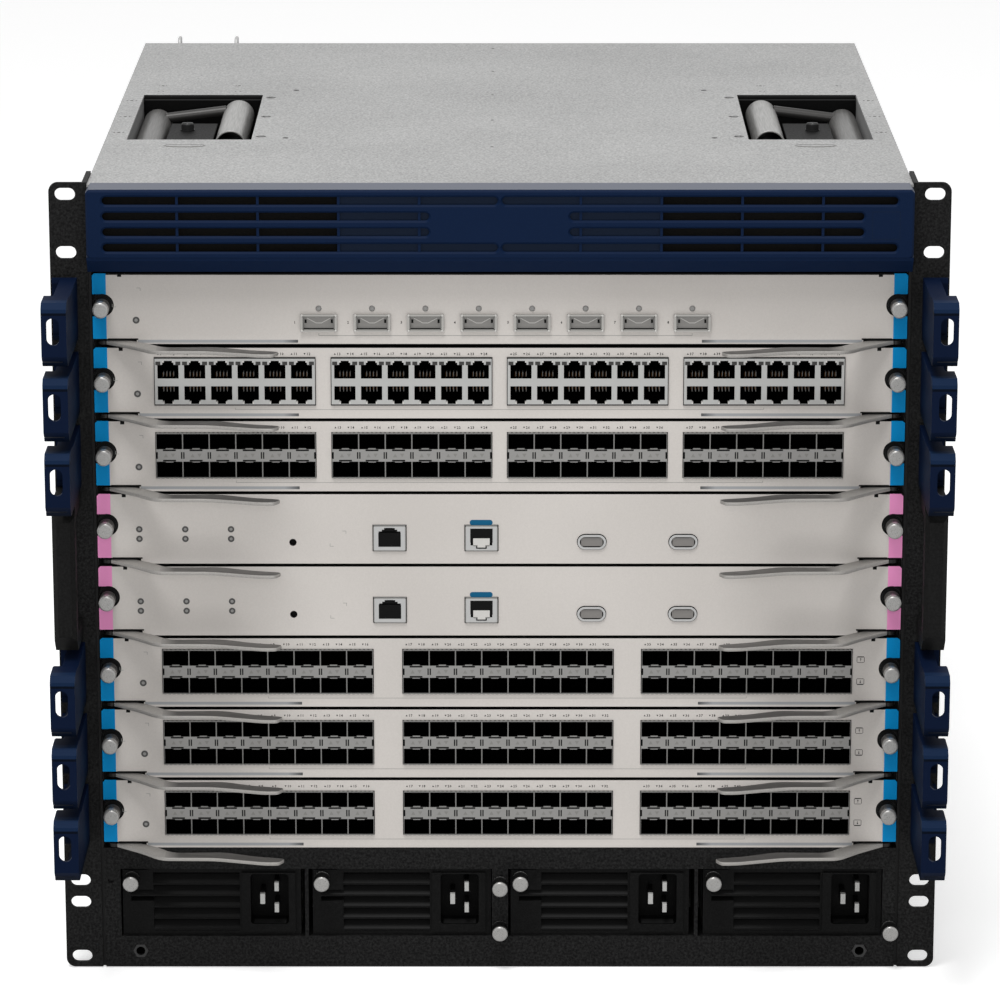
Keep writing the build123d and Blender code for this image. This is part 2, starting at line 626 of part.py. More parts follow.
def cable_guide(card):
    """Right-hand cable guide: a ring open to the outside, with a slotted head."""
    top = card_top(card) - GUIDE_DROP
    low = top - GUIDE_HEIGHT
    tip = FACE - GUIDE_REACH
    side = outline((FACE, top - 1.2), (tip + GUIDE_HEAD, top - 1.2), (tip + GUIDE_HEAD, top), (tip + 3, top),
                   (tip, top - 3), (tip, low + 6), (tip + 5, low), (FACE, low))
    outer = GUIDE_IN + GUIDE_WIDTH
    guide = bar(side, GUIDE_IN, outer)
    wall = GUIDE_WALL
    guide -= block((GUIDE_IN + wall, outer), (tip + wall, FACE - wall), (low + wall, top - 1.2 - wall))
    guide -= block((outer - 4.5, outer), (tip + GUIDE_HEAD + 5, FACE - 4), (low, top))
    slot = Pos(GUIDE_IN + 7.2, top - 15.2 * TALLER) * SlotOverall(14.7 * TALLER, 6.8, rotation=90)
    return guide - plate(slot, tip, tip + wall)


def side_handle():
    """Right-hand pull handle: a square-cornered bow with softened edges."""
    half = HANDLE_LENGTH / 2
    low, high = HANDLE_MIDDLE - half, HANDLE_MIDDLE + half
    tip = FACE - HANDLE_REACH
    side = outline((FACE, low), (tip + 10, low), (tip, low + 10), (tip, high - 10), (tip + 10, high), (FACE, high))
    gap_end = tip + HANDLE_BAR
    side -= outline((FACE, low + HANDLE_BAR), (gap_end + 4, low + HANDLE_BAR), (gap_end, low + HANDLE_BAR + 4),
                    (gap_end, high - HANDLE_BAR - 4), (gap_end + 4, high - HANDLE_BAR), (FACE, high - HANDLE_BAR))
    handle = bar(side, GUIDE_IN + 0.9, GUIDE_IN + GUIDE_WIDTH - 0.1)
    front_edges = [e for e in handle.edges() if abs(e.center().Y - tip) < 0.1 and e.length > 20]
    return chamfer(front_edges, 2.5)


def supply_case(left):
    """Power supply: a long steel box with sloped louvres cut into its front."""
    low, high = POWER_FLOOR, POWER_TOP - SUPPLY_RISE
    louvres = (left + 17, left + SUPPLY_WIDTH - 34)
    case = block((left, left + SUPPLY_WIDTH), (CASE_FRONT, CASE_FRONT + SUPPLY_DEPTH), (low, high))
    recess = (CASE_FRONT, CASE_FRONT + LOUVRE_DEPTH)
    case -= block(louvres, recess, (low + 2.4, high - 2.2))
    case -= block((left + 4.6, louvres[0]), recess, (38 * TALLER, 44.5 * TALLER))
    for row in range(5):
        bottom = low + 2.6 + row * LOUVRE_PITCH
        start = left + 4.5 if row == 3 else louvres[0] - 0.1
        slat = outline((recess[0], bottom), (recess[0], bottom + 1), (recess[0] + 5, bottom + 4.6),
                       (recess[0] + 5, bottom + 3.6))
        case += bar(slat, start, louvres[1] + 0.1)
    case -= inlet_block(left, 0)
    foot = 45.5 * TALLER
    gusset = outline((left + 0.7, foot), (left + 8, foot), (left + 14, high), (left + 0.7, high))
    case += plate(gusset, FACE, CASE_FRONT)
    return case - rod(left + SUPPLY_SCREW_X, SUPPLY_SCREW_Z, SCREW_SHANK / 2 + RUNNING, FACE - 1, CASE_FRONT + 6)


def inlet_block(left, proud):
    """Outer form of a power inlet's body."""
    right = left + SUPPLY_WIDTH
    return block((right - 32.8, right - 3.1), (CASE_FRONT - proud, CASE_FRONT + INLET_DEPTH + 3),
                 (20.4 * TALLER, 55 * TALLER))


def power_inlet(left):
    """Three-pin power inlet: a body with a round-cornered cavity and three flat pins."""
    right = left + SUPPLY_WIDTH
    inlet = inlet_block(left, INLET_PROUD)
    mouth = window((right - 28, right - 6.8), (24.9 * TALLER, 54.2 * TALLER))
    mouth = fillet(mouth.vertices(), 2)
    front = CASE_FRONT - INLET_PROUD
    inlet -= plate(mouth, front, front + INLET_DEPTH)
    middle = 40.4 * TALLER
    step = INLET_PIN_SPACING / 2
    for x, z in ((right - 21.4, middle), (right - 13.6, middle + step), (right - 13.6, middle - step)):
        inlet += plate(window((x - 1.2, x + 1.2), (z - 3, z + 3)), front + 3, front + INLET_DEPTH)
    return inlet


def power_supply(left):
    """A supply with its inlet and captive screw."""
    screw = thumbscrew(left + SUPPLY_SCREW_X, SUPPLY_SCREW_Z, CASE_FRONT + 5, FRAME_SCREW_REACH)
    return [supply_case(left), power_inlet(left), screw]


def frame_screws():
    """Captive screws of the front frame, and the two nuts pressed in its lower lip."""
    screws = [thumbscrew(x, z, CASE_FRONT, FRAME_SCREW_REACH) for x, z in FRAME_SCREWS]
    nut = RegularPolygon(NUT_SIZE, 6) - Circle(NUT_HOLE)
    return screws + [plate(Pos(x, NUT_Z) * nut, FACE, CASE_FRONT) for x in (-NUT_X, NUT_X)]


def rear_frame():
    """Rear plate with an opening for each rear module."""
    low, high = REAR_BAY
    face = window((-SIDE_IN, SIDE_IN), (SHEET, ROOF_UNDER - FIT))
    for index in range(2):
        x = FABRIC_FIRST + index * FABRIC_PITCH
        face -= window((x - FABRIC_WIDTH / 2 + 2, x + FABRIC_WIDTH / 2 - 2), (low, high))
    for bottom, top in fan_rows():
        face -= window((FAN_BAY[0] + 4, FAN_BAY[1] - 4), (bottom + 4, top - 4))
    return plate(face, CASE_BACK - SHEET, CASE_BACK)


def fan_rows():
    """Lower and upper fan tray, as pairs of heights."""
    low, high = REAR_BAY
    middle = (low + high) / 2
    return [(low, middle - 1), (middle + 1, high)]


def bow_handle(x, z):
    """Upright flat bow behind a rear module."""
    face = CASE_BACK + REAR_COVER
    bow = Pos(face + BOW_REACH / 2 - 2, z) * RectangleRounded(BOW_REACH + 4, BOW_LENGTH, 7)
    bow -= Pos(face + BOW_REACH / 2 - 5, z) * RectangleRounded(BOW_REACH - 6, BOW_LENGTH - 16, 4)
    bow -= Pos(face - 10, z) * Rectangle(20, BOW_LENGTH + 2)
    return bar(bow, x - BOW_SHEET / 2, x + BOW_SHEET / 2)


def fabric_module(index):
    """Tall narrow rear module: cover plate, board and bow handle."""
    x = FABRIC_FIRST + index * FABRIC_PITCH
    low, high = REAR_BAY
    half = FABRIC_WIDTH / 2
    cover = block((x - half, x + half), (CASE_BACK, CASE_BACK + REAR_COVER), (low - 4, high + 3))
    inner = half - 2.5
    body = block((x - inner, x + inner), (CASE_BACK - FABRIC_DEPTH, CASE_BACK), (low + 1, high - 1))
    return [cover + body, bow_handle(x, high - BOW_LENGTH / 2 + 2)]


def fan_centres(row):
    """Axes of the two fans in a tray, as pairs of X and Z."""
    bottom, top = fan_rows()[row]
    quarter = (FAN_BAY[1] - FAN_BAY[0]) / 4
    middle = (FAN_BAY[0] + FAN_BAY[1]) / 2
    return [(middle + side * quarter, (bottom + top) / 2) for side in (-1, 1)]


def fan_tray(row):
    """Rear tray: a cover with two spoked mouths, a box behind it, and a shaft for each rotor."""
    bottom, top = fan_rows()[row]
    cover = window(FAN_BAY, (bottom, top))
    box = window((FAN_BAY[0] + 5, FAN_BAY[1] - 5), (bottom + 5, top - 5))
    for centre in fan_centres(row):
        cover -= Pos(*centre) * spoked_mouth()
        box -= Pos(*centre) * Circle(FAN_BORE / 2)
    tray = plate(cover, CASE_BACK, CASE_BACK + REAR_COVER) + plate(box, CASE_BACK - FAN_DEPTH, CASE_BACK)
    for x, z in fan_centres(row):
        tray += rod(x, z, FAN_HUB / 2, FAN_BACK, CASE_BACK)
        tray += rod(x, z, FAN_SHAFT / 2, FAN_BACK - FAN_THICK + 4, FAN_BACK)
    return tray


def spoked_mouth():
    """Front view of a fan mouth: a ring left open between four spokes."""
    mouth = Circle(FAN_BORE / 2) - Circle(FAN_HUB / 2 + 1)
    for spoke in range(2):
        mouth -= Rot(0, 0, 45 + 90 * spoke) * Rectangle(FAN_BORE, 6)
    return mouth


def fan_rotor(x, z):
    """Rotor: a hub with slanted blades on the tray's shaft."""
    back = FAN_BACK - 1
    front = back - FAN_THICK
    tip = FAN_BORE / 2 - FAN_TIP_GAP
    root = FAN_HUB / 2 - 4
    rotor = rod(0, 0, FAN_HUB / 2, front, back)
    slab = Pos((root + tip) / 2, (front + back) / 2, 0) * Rot(38, 0, 0) * Box(tip - root, FAN_THICK, 2.2)
    for blade in range(FAN_BLADES):
        rotor += Rot(0, blade * 360 / FAN_BLADES, 0) * slab
    rotor -= rod(0, 0, FAN_SHAFT / 2 + RUNNING, back - FAN_THICK + 2, back + 1)
    return Pos(x, 0, z) * rotor


def build():
    """Write every node."""
    write("chassis_shell", case_shell())
    write("top_cover", roof())
    write("front_frame", front_frame())
    write("rack_ears", rack_ear(), mirrored(rack_ear()))
    write("card_rails", card_rail(), mirrored(card_rail()))
    write("power_bay", power_bay())
    write("midplane_board", midplane())
    guides = [cable_guide(card) for card in range(1, CARD_COUNT + 1) if card not in SUPERVISORS]
    write("cable_guides", *guides, *[mirrored(guide) for guide in guides])
    write("side_handles", side_handle(), mirrored(side_handle()))
    write("handle_pockets", handle_pocket(), mirrored(handle_pocket()))
    write("right_lift_handle", lift_handle())
    write("left_lift_handle", mirrored(lift_handle()))
    write("frame_screws", *frame_screws())
    write("intake_bezel", intake_bezel())
    write("intake_filter", intake_filter())
    write("rear_frame", rear_frame())
    for card in range(1, CARD_COUNT + 1):
        write("card_%d_front" % card, *card_front(card))
        write("card_%d_board" % card, *card_board(card))
        write("card_%d_right_lever" % card, lever(card))
        write("card_%d_left_lever" % card, mirrored(lever(card)))
    for index, left in enumerate(SUPPLY_LEFT):
        write("power_supply_%d" % (index + 1), *power_supply(left))
    for index in range(2):
        write("fabric_module_%d" % (index + 1), *fabric_module(index))
    for row, name in enumerate(("lower", "upper")):
        write(name + "_fan_tray", fan_tray(row))
        for index, (x, z) in enumerate(fan_centres(row)):
            write("%s_fan_rotor_%d" % (name, index + 1), fan_rotor(x, z))


build()
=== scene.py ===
# %% [markdown]
# # A modular chassis switch
# The object is a network switch for a 19 inch rack, ten rack units high: a zinc case with black rack
# ears, a blue air intake, eight line cards, four power supplies and blue cable guides.
# The CAD model already holds every solid at its real size. This lesson loads it, gives each surface its
# finish, and adds the small things that a CAD model leaves out: prints, lamps, contacts, springs, rims.

# %% Load the frame
import math

import bmesh
import bpy
from mathutils import Matrix, Vector


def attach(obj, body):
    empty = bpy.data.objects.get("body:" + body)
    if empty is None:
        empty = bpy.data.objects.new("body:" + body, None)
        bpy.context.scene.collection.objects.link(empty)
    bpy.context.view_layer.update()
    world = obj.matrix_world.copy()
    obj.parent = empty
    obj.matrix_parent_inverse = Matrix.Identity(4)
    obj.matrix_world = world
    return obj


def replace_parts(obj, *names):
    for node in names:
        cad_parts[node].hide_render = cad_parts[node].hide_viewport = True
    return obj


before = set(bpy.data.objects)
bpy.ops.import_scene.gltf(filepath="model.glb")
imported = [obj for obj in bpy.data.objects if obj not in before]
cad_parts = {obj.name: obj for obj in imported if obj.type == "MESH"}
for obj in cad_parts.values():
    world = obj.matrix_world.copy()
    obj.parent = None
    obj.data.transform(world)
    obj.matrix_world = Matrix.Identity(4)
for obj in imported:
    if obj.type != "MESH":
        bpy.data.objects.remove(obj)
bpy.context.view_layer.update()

# %% [markdown]
# ## Sizes
# Everything is drawn in millimetres, as on a workshop drawing, and turned into metres once, when a piece
# is finished. X runs to the right, Y to the back and Z up, from the middle of the case's bottom. A size
# that many pieces share gets its name here. A size that fewer pieces share is named where it comes up.

# %% Sizes of the case and cards
MM = 0.001
FACE = -227.0  # front of the card panels
CASE_FRONT = -225.0
CASE_BACK = 225.0
ROOF = 443.0
CARDS = range(1, 9)
SUPERVISORS = (4, 5)
CARD_PITCH = 40.8
TOP_CARD = 394.9
PORT_PITCH = 14.4


def card_top(card):
    """Height of a card's top edge."""
    return TOP_CARD - (card - 1) * CARD_PITCH


def port_groups(card):
    """Groups of ports, as pairs of (left end, number of ports across)."""
    if card in (2, 3):
        return [(x, 6) for x in (-186.2, -90.9, 4.1, 99.3)]
    if card > max(SUPERVISORS):
        return [(x, 8) for x in (-184.8, -53.2, 77.6)]
    return []


print("card tops:", [round(card_top(card), 1) for card in CARDS])

# %% [markdown]
# ## Shader maths as plain Python
# A finish here is mostly masks: this part of a card is painted, that part is steel, the inside of a
# port is black. Written as nodes one by one, such masks are hard to read. A small class that stands for
# a socket lets them be written as `x > 211` or `1 - mask`, and adds the Math nodes by itself.

# %% Sockets and finishes
def connect(tree, entry, value):
    """Feed a node's input with a link or with a plain value."""
    if isinstance(value, Socket):
        tree.links.new(value.output, entry)
    else:
        entry.default_value = value


class Socket:
    """The output of a node, on which maths can be written."""

    def __init__(self, tree, output):
        self.tree = tree
        self.output = output

    def calc(self, operation, *values):
        node = self.tree.nodes.new("ShaderNodeMath")
        node.operation = operation
        for entry, value in zip(node.inputs, values):
            connect(self.tree, entry, value)
        return Socket(self.tree, node.outputs[0])

    def __add__(self, other):
        return self.calc("ADD", self, other)

    def __radd__(self, other):
        return self.calc("ADD", other, self)

    def __sub__(self, other):
        return self.calc("SUBTRACT", self, other)

    def __rsub__(self, other):
        return self.calc("SUBTRACT", other, self)

    def __mul__(self, other):
        return self.calc("MULTIPLY", self, other)

    def __rmul__(self, other):
        return self.calc("MULTIPLY", other, self)

    def __truediv__(self, other):
        return self.calc("DIVIDE", self, other)

    def __lt__(self, other):
        return self.calc("LESS_THAN", self, other)

    def __gt__(self, other):
        return self.calc("GREATER_THAN", self, other)

    def __and__(self, other):
        return self.calc("MULTIPLY", self, other)

    def __or__(self, other):
        return self.calc("MAXIMUM", self, other)

    def __abs__(self):
        return self.calc("ABSOLUTE", self)

    def within(self, low, high):
        """1 between low and high, and 0 outside."""
        return (self > low) & (self < high)

    def fraction(self):
        return self.calc("FRACT", self)

    def wave(self):
        return self.calc("SINE", self)

    def root(self):
        return self.calc("SQRT", self)


def colour(code):
    """A colour as it is seen, #rrggbb, as the linear numbers that shaders use."""
    seen = [int(code[i:i + 2], 16) / 255 for i in (1, 3, 5)]
    return tuple(c / 12.92 if c <= 0.04045 else ((c + 0.055) / 1.055) ** 2.4 for c in seen) + (1.0,)


class Finish:
    """A material: its shader, the place of each point in millimetres, and the nodes of its pattern."""

    def __init__(self, name, base, roughness=0.5, metallic=0.0, slot=None, shine=0.5):
        self.name = name
        self.slot = slot
        self.material = bpy.data.materials.new(name)
        self.material.use_nodes = True
        self.tree = self.material.node_tree
        self.shader = self.tree.nodes["Principled BSDF"]
        place = self.node("ShaderNodeTexCoord", pick="Object")
        self.place = self.node("ShaderNodeVectorMath", {"operation": "SCALE"}, {0: place, "Scale": 1000.0})
        parts = [self.node("ShaderNodeSeparateXYZ", {}, {0: self.place}, pick=i) for i in range(3)]
        self.x, self.y, self.z = parts
        self.base = colour(base) if isinstance(base, str) else base
        self.set("Base Color", self.base)
        self.set("Roughness", roughness)
        self.set("Metallic", metallic)
        self.set("Specular IOR Level", shine)

    def node(self, kind, settings=None, values=None, pick=0):
        """Add a node: its settings first, then its inputs. The answer is one of its outputs."""
        made = self.tree.nodes.new(kind)
        for name, value in (settings or {}).items():
            setattr(made, name, value)
        for entry, value in (values or {}).items():
            connect(self.tree, made.inputs[entry], value)
        return Socket(self.tree, made.outputs[pick])

    def set(self, entry, value):
        connect(self.tree, self.shader.inputs[entry], value)

    def noise(self, scale, detail=2.0, roughness=0.5):
        """Soft random pattern with about scale grains to a millimetre."""
        inputs = {"Vector": self.place, "Scale": scale, "Detail": detail, "Roughness": roughness}
        return self.node("ShaderNodeTexNoise", {"noise_dimensions": "3D"}, inputs)

    def mix(self, factor, first, second):
        """From the first colour at 0 to the second at 1."""
        first, second = [colour(c) if isinstance(c, str) else c for c in (first, second)]
        return self.node("ShaderNodeMix", {"data_type": "RGBA"}, {0: factor, 6: first, 7: second}, pick=2)

    def range(self, value, low, high, new_low=0.0, new_high=1.0):
        """Stretch a value from one range to another and clamp it."""
        inputs = {"Value": value, 1: low, 2: high, 3: new_low, 4: new_high}
        return self.node("ShaderNodeMapRange", {"clamp": True}, inputs)

    def bump(self, height, depth):
        """Relief with the given depth in millimetres."""
        inputs = {"Height": height, "Distance": depth * MM, "Strength": 1.0}
        self.set("Normal", self.node("ShaderNodeBump", {}, inputs))

    def put_on(self, node):
        """Give a CAD node this finish."""
        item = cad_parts[node]
        if not item.material_slots:
            item.data.materials.append(self.material)
        for entry in item.material_slots:
            entry.material = self.material


print("finishes are ready to be written")

# %% [markdown]
# ## Bare and painted sheet
# The case is zinc-coated sheet: light grey, with a fine sparkling grain that shows as soft salt and
# pepper. The ears and frames have a black powder coat, slightly uneven like orange peel. Both are one
# noise at two scales, so the grain stays the same size on every piece.

# %% Zinc sheet and powder coat
def zinc_finish(name="zinc sheet", black_rim=0.0):
    """Zinc sheet, painted near black as painted shade on the first black_rim millimetres of its front edge
    and on the roof's cut edges behind the pockets.
    """
    zinc = Finish(name, "#a5a5a4", 0.5, 0.2, "zinc_sheet", 0.3)
    grain = zinc.noise(0.75, 4.0, 0.75)
    cloud = zinc.noise(0.012, 1.0)
    tone = zinc.range(grain * 0.9 + cloud * 0.1, 0.36, 0.64)
    # Painted shade: the roof's cut edges behind the pockets and the front rim are near black.
    cut = (zinc.z < ROOF - 0.1) & zinc.y.within(43.0, 45.0) & (abs(zinc.x) > 138.0)
    rim = (zinc.y < CASE_FRONT + black_rim) | cut
    zinc.set("Base Color", zinc.mix(rim, zinc.mix(tone, "#7d7d7d", "#bdbdbc"), "#070707"))
    zinc.set("Roughness", zinc.range(grain, 0.3, 0.7, 0.45, 0.6))
    zinc.bump(grain, 0.03)
    return zinc


def powder_finish(name="black powder coat", dark="#060606", light="#242424", slot="black_powder_coat"):
    coat = Finish(name, dark, 0.5, 0.0, slot, 0.08)
    grain = coat.noise(0.7, 3.0, 0.7)
    tone = coat.range(grain, 0.38, 0.66)
    coat.set("Base Color", coat.mix(tone, dark, light))
    coat.set("Roughness", coat.range(grain, 0.3, 0.7, 0.45, 0.65))
    coat.bump(grain, 0.06)
    return coat


def pocket_finish():
    """Roof pockets: a black coat, the back wall painted near black as painted shade, with a paler strip at
    its top as a painted highlight.
    """
    tray = powder_finish("pocket coat", "#0a0a0a", "#1c1c1c")
    # Painted shade on the back wall, and a painted highlight along its top.
    back = tray.y.within(43.0, 46.0)
    strip = back & tray.z.within(ROOF - 3.3, ROOF - 2.5)
    skin = tray.mix(back, tray.mix(tray.noise(0.9, 2.0), "#2c2c2c", "#4a4a4a"), "#020202")
    tray.set("Base Color", tray.mix(strip, skin, "#333333"))
    return tray


ZINC = zinc_finish("zinc sheet", -5.0)
# Painted shade on the shell's first 3 mm at the front.
SHELL = zinc_finish("zinc shell", 3.0)
POCKET = pocket_finish()
COAT = powder_finish()
COAT_SMOOTH = powder_finish("smooth black coat", "#0c0c0c", "#1a1a1a")
for node in ("top_cover", "card_rails", "rear_frame"):
    ZINC.put_on(node)
# Painted shade: the bay's first 45 mm of zinc are black.
zinc_finish("zinc bay", 45.0).put_on("power_bay")
SHELL.put_on("chassis_shell")
POCKET.put_on("handle_pockets")
for node in ("front_frame", "rack_ears"):
    COAT.put_on(node)
COAT_SMOOTH.put_on("side_handles")
for row in ("lower", "upper"):
    COAT.put_on(row + "_fan_tray")
print("sheet finishes:", ZINC.name, "and", COAT.name)

# %% [markdown]
# ## Card fronts
# A card front is one painted panel with a coloured tab at each end, black brackets behind it and
# bright captive screws through it. They are one CAD node, so one material tells them apart by place:
# the screws by their distance from their axis, the tabs by their distance from the middle. All cards
# are alike but for their height, so the height is folded back onto one card with a fraction.

# %% Card front finish
SCREW_X = 213.8
SCREW_DROP = 17.5


def card_height(look):
    """Distance below the card's own top edge, in millimetres, the same for every card."""
    slack = 0.6
    return ((TOP_CARD + slack - look.z) / CARD_PITCH).fraction() * CARD_PITCH - slack


def distance(across, up):
    """Distance of a point from an axis, from how far it is across and up."""
    return (across * across + up * up).root()


def front_finish(name, tab):
    paint = Finish(name, "#c8c3be", 0.5, 0.0, "card_panel_paint", 0.08)
    drop = card_height(paint)
    side = abs(paint.x)
    axis = distance(side - SCREW_X, drop - SCREW_DROP)
    screw = ((axis < 4.45) & (paint.y < FACE - 0.2)) | (axis < 2.52)
    # Black: the end brackets, the seams, and painted shade on the flanges behind the top and bottom edges and
    # in the notch round a screw.
    bracket = (paint.y > CASE_FRONT + 0.02) & (side > 204.2) | ((drop > 36.0) & (side > 205.0))
    # Painted shade: the flanges just behind the panel's top and bottom edges are black.
    flange_shade = (paint.y > FACE + 0.15) & ((drop < 1.4) | (drop > 37.8))
    notch = (paint.y > FACE - 0.1) & ((axis < 6.25) | ((side > SCREW_X) & (abs(drop - SCREW_DROP) < 6.1)))
    seam = (drop < 0.22) | (paint.z > TOP_CARD - 0.8) | paint.z.within(TOP_CARD - 39.5, TOP_CARD - 38.8)
    black = bracket | flange_shade | notch | (seam & (side < 211.6))
    # Painted: the panel, and a coloured tab at each end.
    corner = side.within(211.6, 219.5) & drop.within(-1.0, 36.4) & (paint.y < CASE_FRONT + 0.02)
    grain = paint.noise(1.1, 2.0, 0.6)
    shade = paint.noise(0.012, 1.0)
    tone = paint.range(grain * 0.4 + shade * 0.6, 0.35, 0.65)
    skin = paint.mix(tone, "#c3beb9", "#ccc7c2")
    skin = paint.mix(corner, skin, tab)
    skin = paint.mix(black, skin, "#0a0a0a")
    # Steel: the screw's face is darker in the middle, its brighter rim a painted highlight, and its neck
    # darker still as painted shade.
    metal = paint.mix(paint.range(axis, 3.2, 3.6), "#8e8d8b", "#b5b4b1")
    metal = paint.mix(paint.y > FACE - 12.6, metal, "#4a4948")
    speckle = paint.range(paint.noise(2.5, 3.0, 0.7), 0.3, 0.7) * 0.3
    paint.set("Base Color", paint.mix(screw, skin, paint.mix(speckle, metal, "#777674")))
    paint.set("Metallic", screw * 0.55)
    paint.set("Roughness", 0.48 - screw * 0.16 + black * 0.05)
    paint.bump(grain, 0.008)
    return paint


BLUE_CARD = front_finish("card paint, blue tabs", "#0086c4")
PINK_CARD = front_finish("card paint, pink tabs", "#e792c3")
for card in CARDS:
    (PINK_CARD if card in SUPERVISORS else BLUE_CARD).put_on("card_%d_front" % card)
print("card fronts:", BLUE_CARD.name, "and", PINK_CARD.name)

# %% [markdown]
# ## Boards and port blocks
# Behind each front is a green board with metal port blocks at its front and black connectors at its
# rear. The mouths of the ports are sunk 12 mm and look simply black, so everything inside a mouth is
# painted nearly black and rough: painted shade.

# %% Board finish
ROW_DROP = 19.05  # from a card's top edge down to the middle between its two rows of ports
BLOCK_FOOT = 31.7  # and down to the foot of its port blocks


def board_finish(name, high, low, metal, mouth_back, card=None):
    """A board and its port blocks, whose mouths lie from high to low below the card's top edge."""
    board = Finish(name, "#14502f", 0.45, 0.0, "circuit_board", 0.0)
    drop = card_height(board)
    ports = board.y < FACE + 60.5
    on_board = drop.within(31.9, 34.6) & (board.y > CASE_FRONT + 9.9)
    case = ports & (1 - on_board)
    # Painted shade: the inside of each mouth is nearly black.
    mouth = board.y.within(FACE - 0.72, mouth_back) & drop.within(high + 0.3, low - 0.3) & ports
    plug = (board.y > 100.0) & (drop < 32.4)
    grain = board.noise(1.5, 2.0)
    skin = board.mix(board.range(grain, 0.35, 0.65), "#123f28", "#1b5636")
    skin = board.mix(plug, skin, "#1a1a1a")
    skin = board.mix(case, skin, metal)
    if card:
        thin = (drop < high + 0.5) | (drop > low - 0.5)
        for left, count in port_groups(card):
            step = ((board.x - left + PORT_PITCH / 2) / PORT_PITCH).fraction()
            row = board.x.within(left - 0.5, left + count * PORT_PITCH + 0.5)
            thin = thin | (row & (abs(step - 0.5) * PORT_PITCH < 0.3))
        rims = board.mix(thin, "#0b0b0b", "#7a7977")
        skin = board.mix(case & (abs(drop - ROW_DROP) > 3.5), skin, rims)
    board.set("Base Color", board.mix(mouth, skin, "#020202"))
    board.set("Metallic", (case - mouth * case) * 0.3)
    board.set("Roughness", 0.42 + mouth * 0.4)
    return board


JACK_TOP = 5.7
CAGE_TOP = 6.6
LONG_BOARD = board_finish("long cage block", CAGE_TOP, BLOCK_FOOT, "#8f8e8c", FACE + 12.0, 6)
SERVICE_BOARD = board_finish("service ports", 17.7, 32.0, "#b3b3b2", FACE + 12.0)
BOARDS = {
    1: board_finish("wide cages", 22.2, 31.6, "#a8a6a2", FACE + 11.0),
    2: board_finish("jack block", JACK_TOP, BLOCK_FOOT, "#aeaeac", FACE + 12.0),
    3: board_finish("cage block", CAGE_TOP, BLOCK_FOOT, "#8f8e8c", FACE + 12.0, 3),
    4: SERVICE_BOARD,
    5: SERVICE_BOARD,
}
for card in CARDS:
    BOARDS.get(card, LONG_BOARD).put_on("card_%d_board" % card)
board_finish("midplane board", 0.0, 0.1, "#b9b9b7", -300.0).put_on("midplane_board")
print("boards have their finish")

# %% [markdown]
# ## Plastics and steel
# The bezel and the cable guides are moulded in a dark blue plastic. It is smooth enough to mirror the
# white studio at a low angle, which is why the bezel's top edges look pale: the shader's own Fresnel does
# that. The guides' pale top edges are painted light.
# Steel parts are brushed or turned. One function makes each kind, so that a part only names its tones.

# %% Plastic and steel finishes
def plastic_finish(name, base, roughness=0.35, shine=0.08, depth=0.012, slot="blue_plastic"):
    plastic = Finish(name, base, roughness, 0.0, slot, shine)
    grain = plastic.noise(2.2, 2.0)
    light = tuple(min(1.0, c * 1.25) for c in plastic.base[:3]) + (1.0,)
    plastic.set("Base Color", plastic.mix(plastic.range(grain, 0.3, 0.7), plastic.base, light))
    plastic.bump(grain, depth)
    return plastic


def steel_finish(name, dark, light, roughness=0.32, metallic=0.75, slot="brushed_steel", stretch=(1, 1, 1)):
    """Steel with a grain, which stretch draws out along the way it was brushed."""
    steel = Finish(name, dark, roughness, metallic, slot)
    lay = steel.node("ShaderNodeVectorMath", {"operation": "MULTIPLY"}, {0: steel.place, 1: stretch})
    inputs = {"Vector": lay, "Scale": 2.0, "Detail": 3.0, "Roughness": 0.6}
    grain = steel.node("ShaderNodeTexNoise", {}, inputs)
    tone = steel.range(grain, 0.3, 0.7)
    steel.set("Base Color", steel.mix(tone, dark, light))
    steel.set("Roughness", steel.range(grain, 0.3, 0.7, roughness - 0.05, roughness + 0.1))
    steel.bump(grain, 0.01)
    return steel


BEZEL = plastic_finish("bezel blue", "#0b1a33", 0.5, 0.04)
HOOD = plastic_finish("bezel top blue", "#0e1e38", 0.4, 0.72)
BRIGHT = steel_finish("bright steel", "#989795", "#bdbcb9", 0.3, 0.5, "bright_steel")
CHROME = steel_finish("lamp rim", "#353433", "#4a4948", 0.45, 0.1, "bright_steel")
FOAM = powder_finish("filter foam", "#000000", "#0d0b09", "filter_foam")
ROTOR = powder_finish("fan plastic", "#0d0d0e", "#1c1c1e", "black_plastic")
FOAM.put_on("intake_filter")
for row in ("lower", "upper"):
    for index in (1, 2):
        ROTOR.put_on("%s_fan_rotor_%d" % (row, index))
print("plastics and steel are ready")

# %% [markdown]
# ## Parts in several tones
# Some CAD nodes hold a part with more than one tone: a cable guide has painted light along its top edge
# and painted shade below it, the frame's nuts are black among bright screws, and a lever's flat top has
# painted shade and reflection that make it darker than its edge. Each could be cut into pieces. Telling the
# tones apart by place keeps the part whole and the edges between them sharp.

# %% Guides, levers and frame screws
def guide_finish():
    """Cable guides: a top edge painted paler as painted light, a dark step under it and a foot darker towards
    the bottom as painted shade, the same on each guide.
    """
    guide = Finish("guide blue", "#07132a", 0.55, 0.0, "blue_plastic", 0.04)
    drop = ((TOP_CARD - guide.z) / CARD_PITCH).fraction() * CARD_PITCH - 1.1
    front = guide.y < FACE - 61.0
    # Painted shade towards the foot and on the step, painted light along the top edge.
    skin = guide.mix(guide.range(drop, 28.0, 34.0), "#08142b", "#030a18")
    skin = guide.mix(front & drop.within(5.0, 6.4), skin, "#030916")
    skin = guide.mix(front & drop.within(-0.5, 5.0), skin, "#12233d")
    guide.set("Base Color", skin)
    guide.bump(guide.noise(2.2, 2.0), 0.012)
    return guide


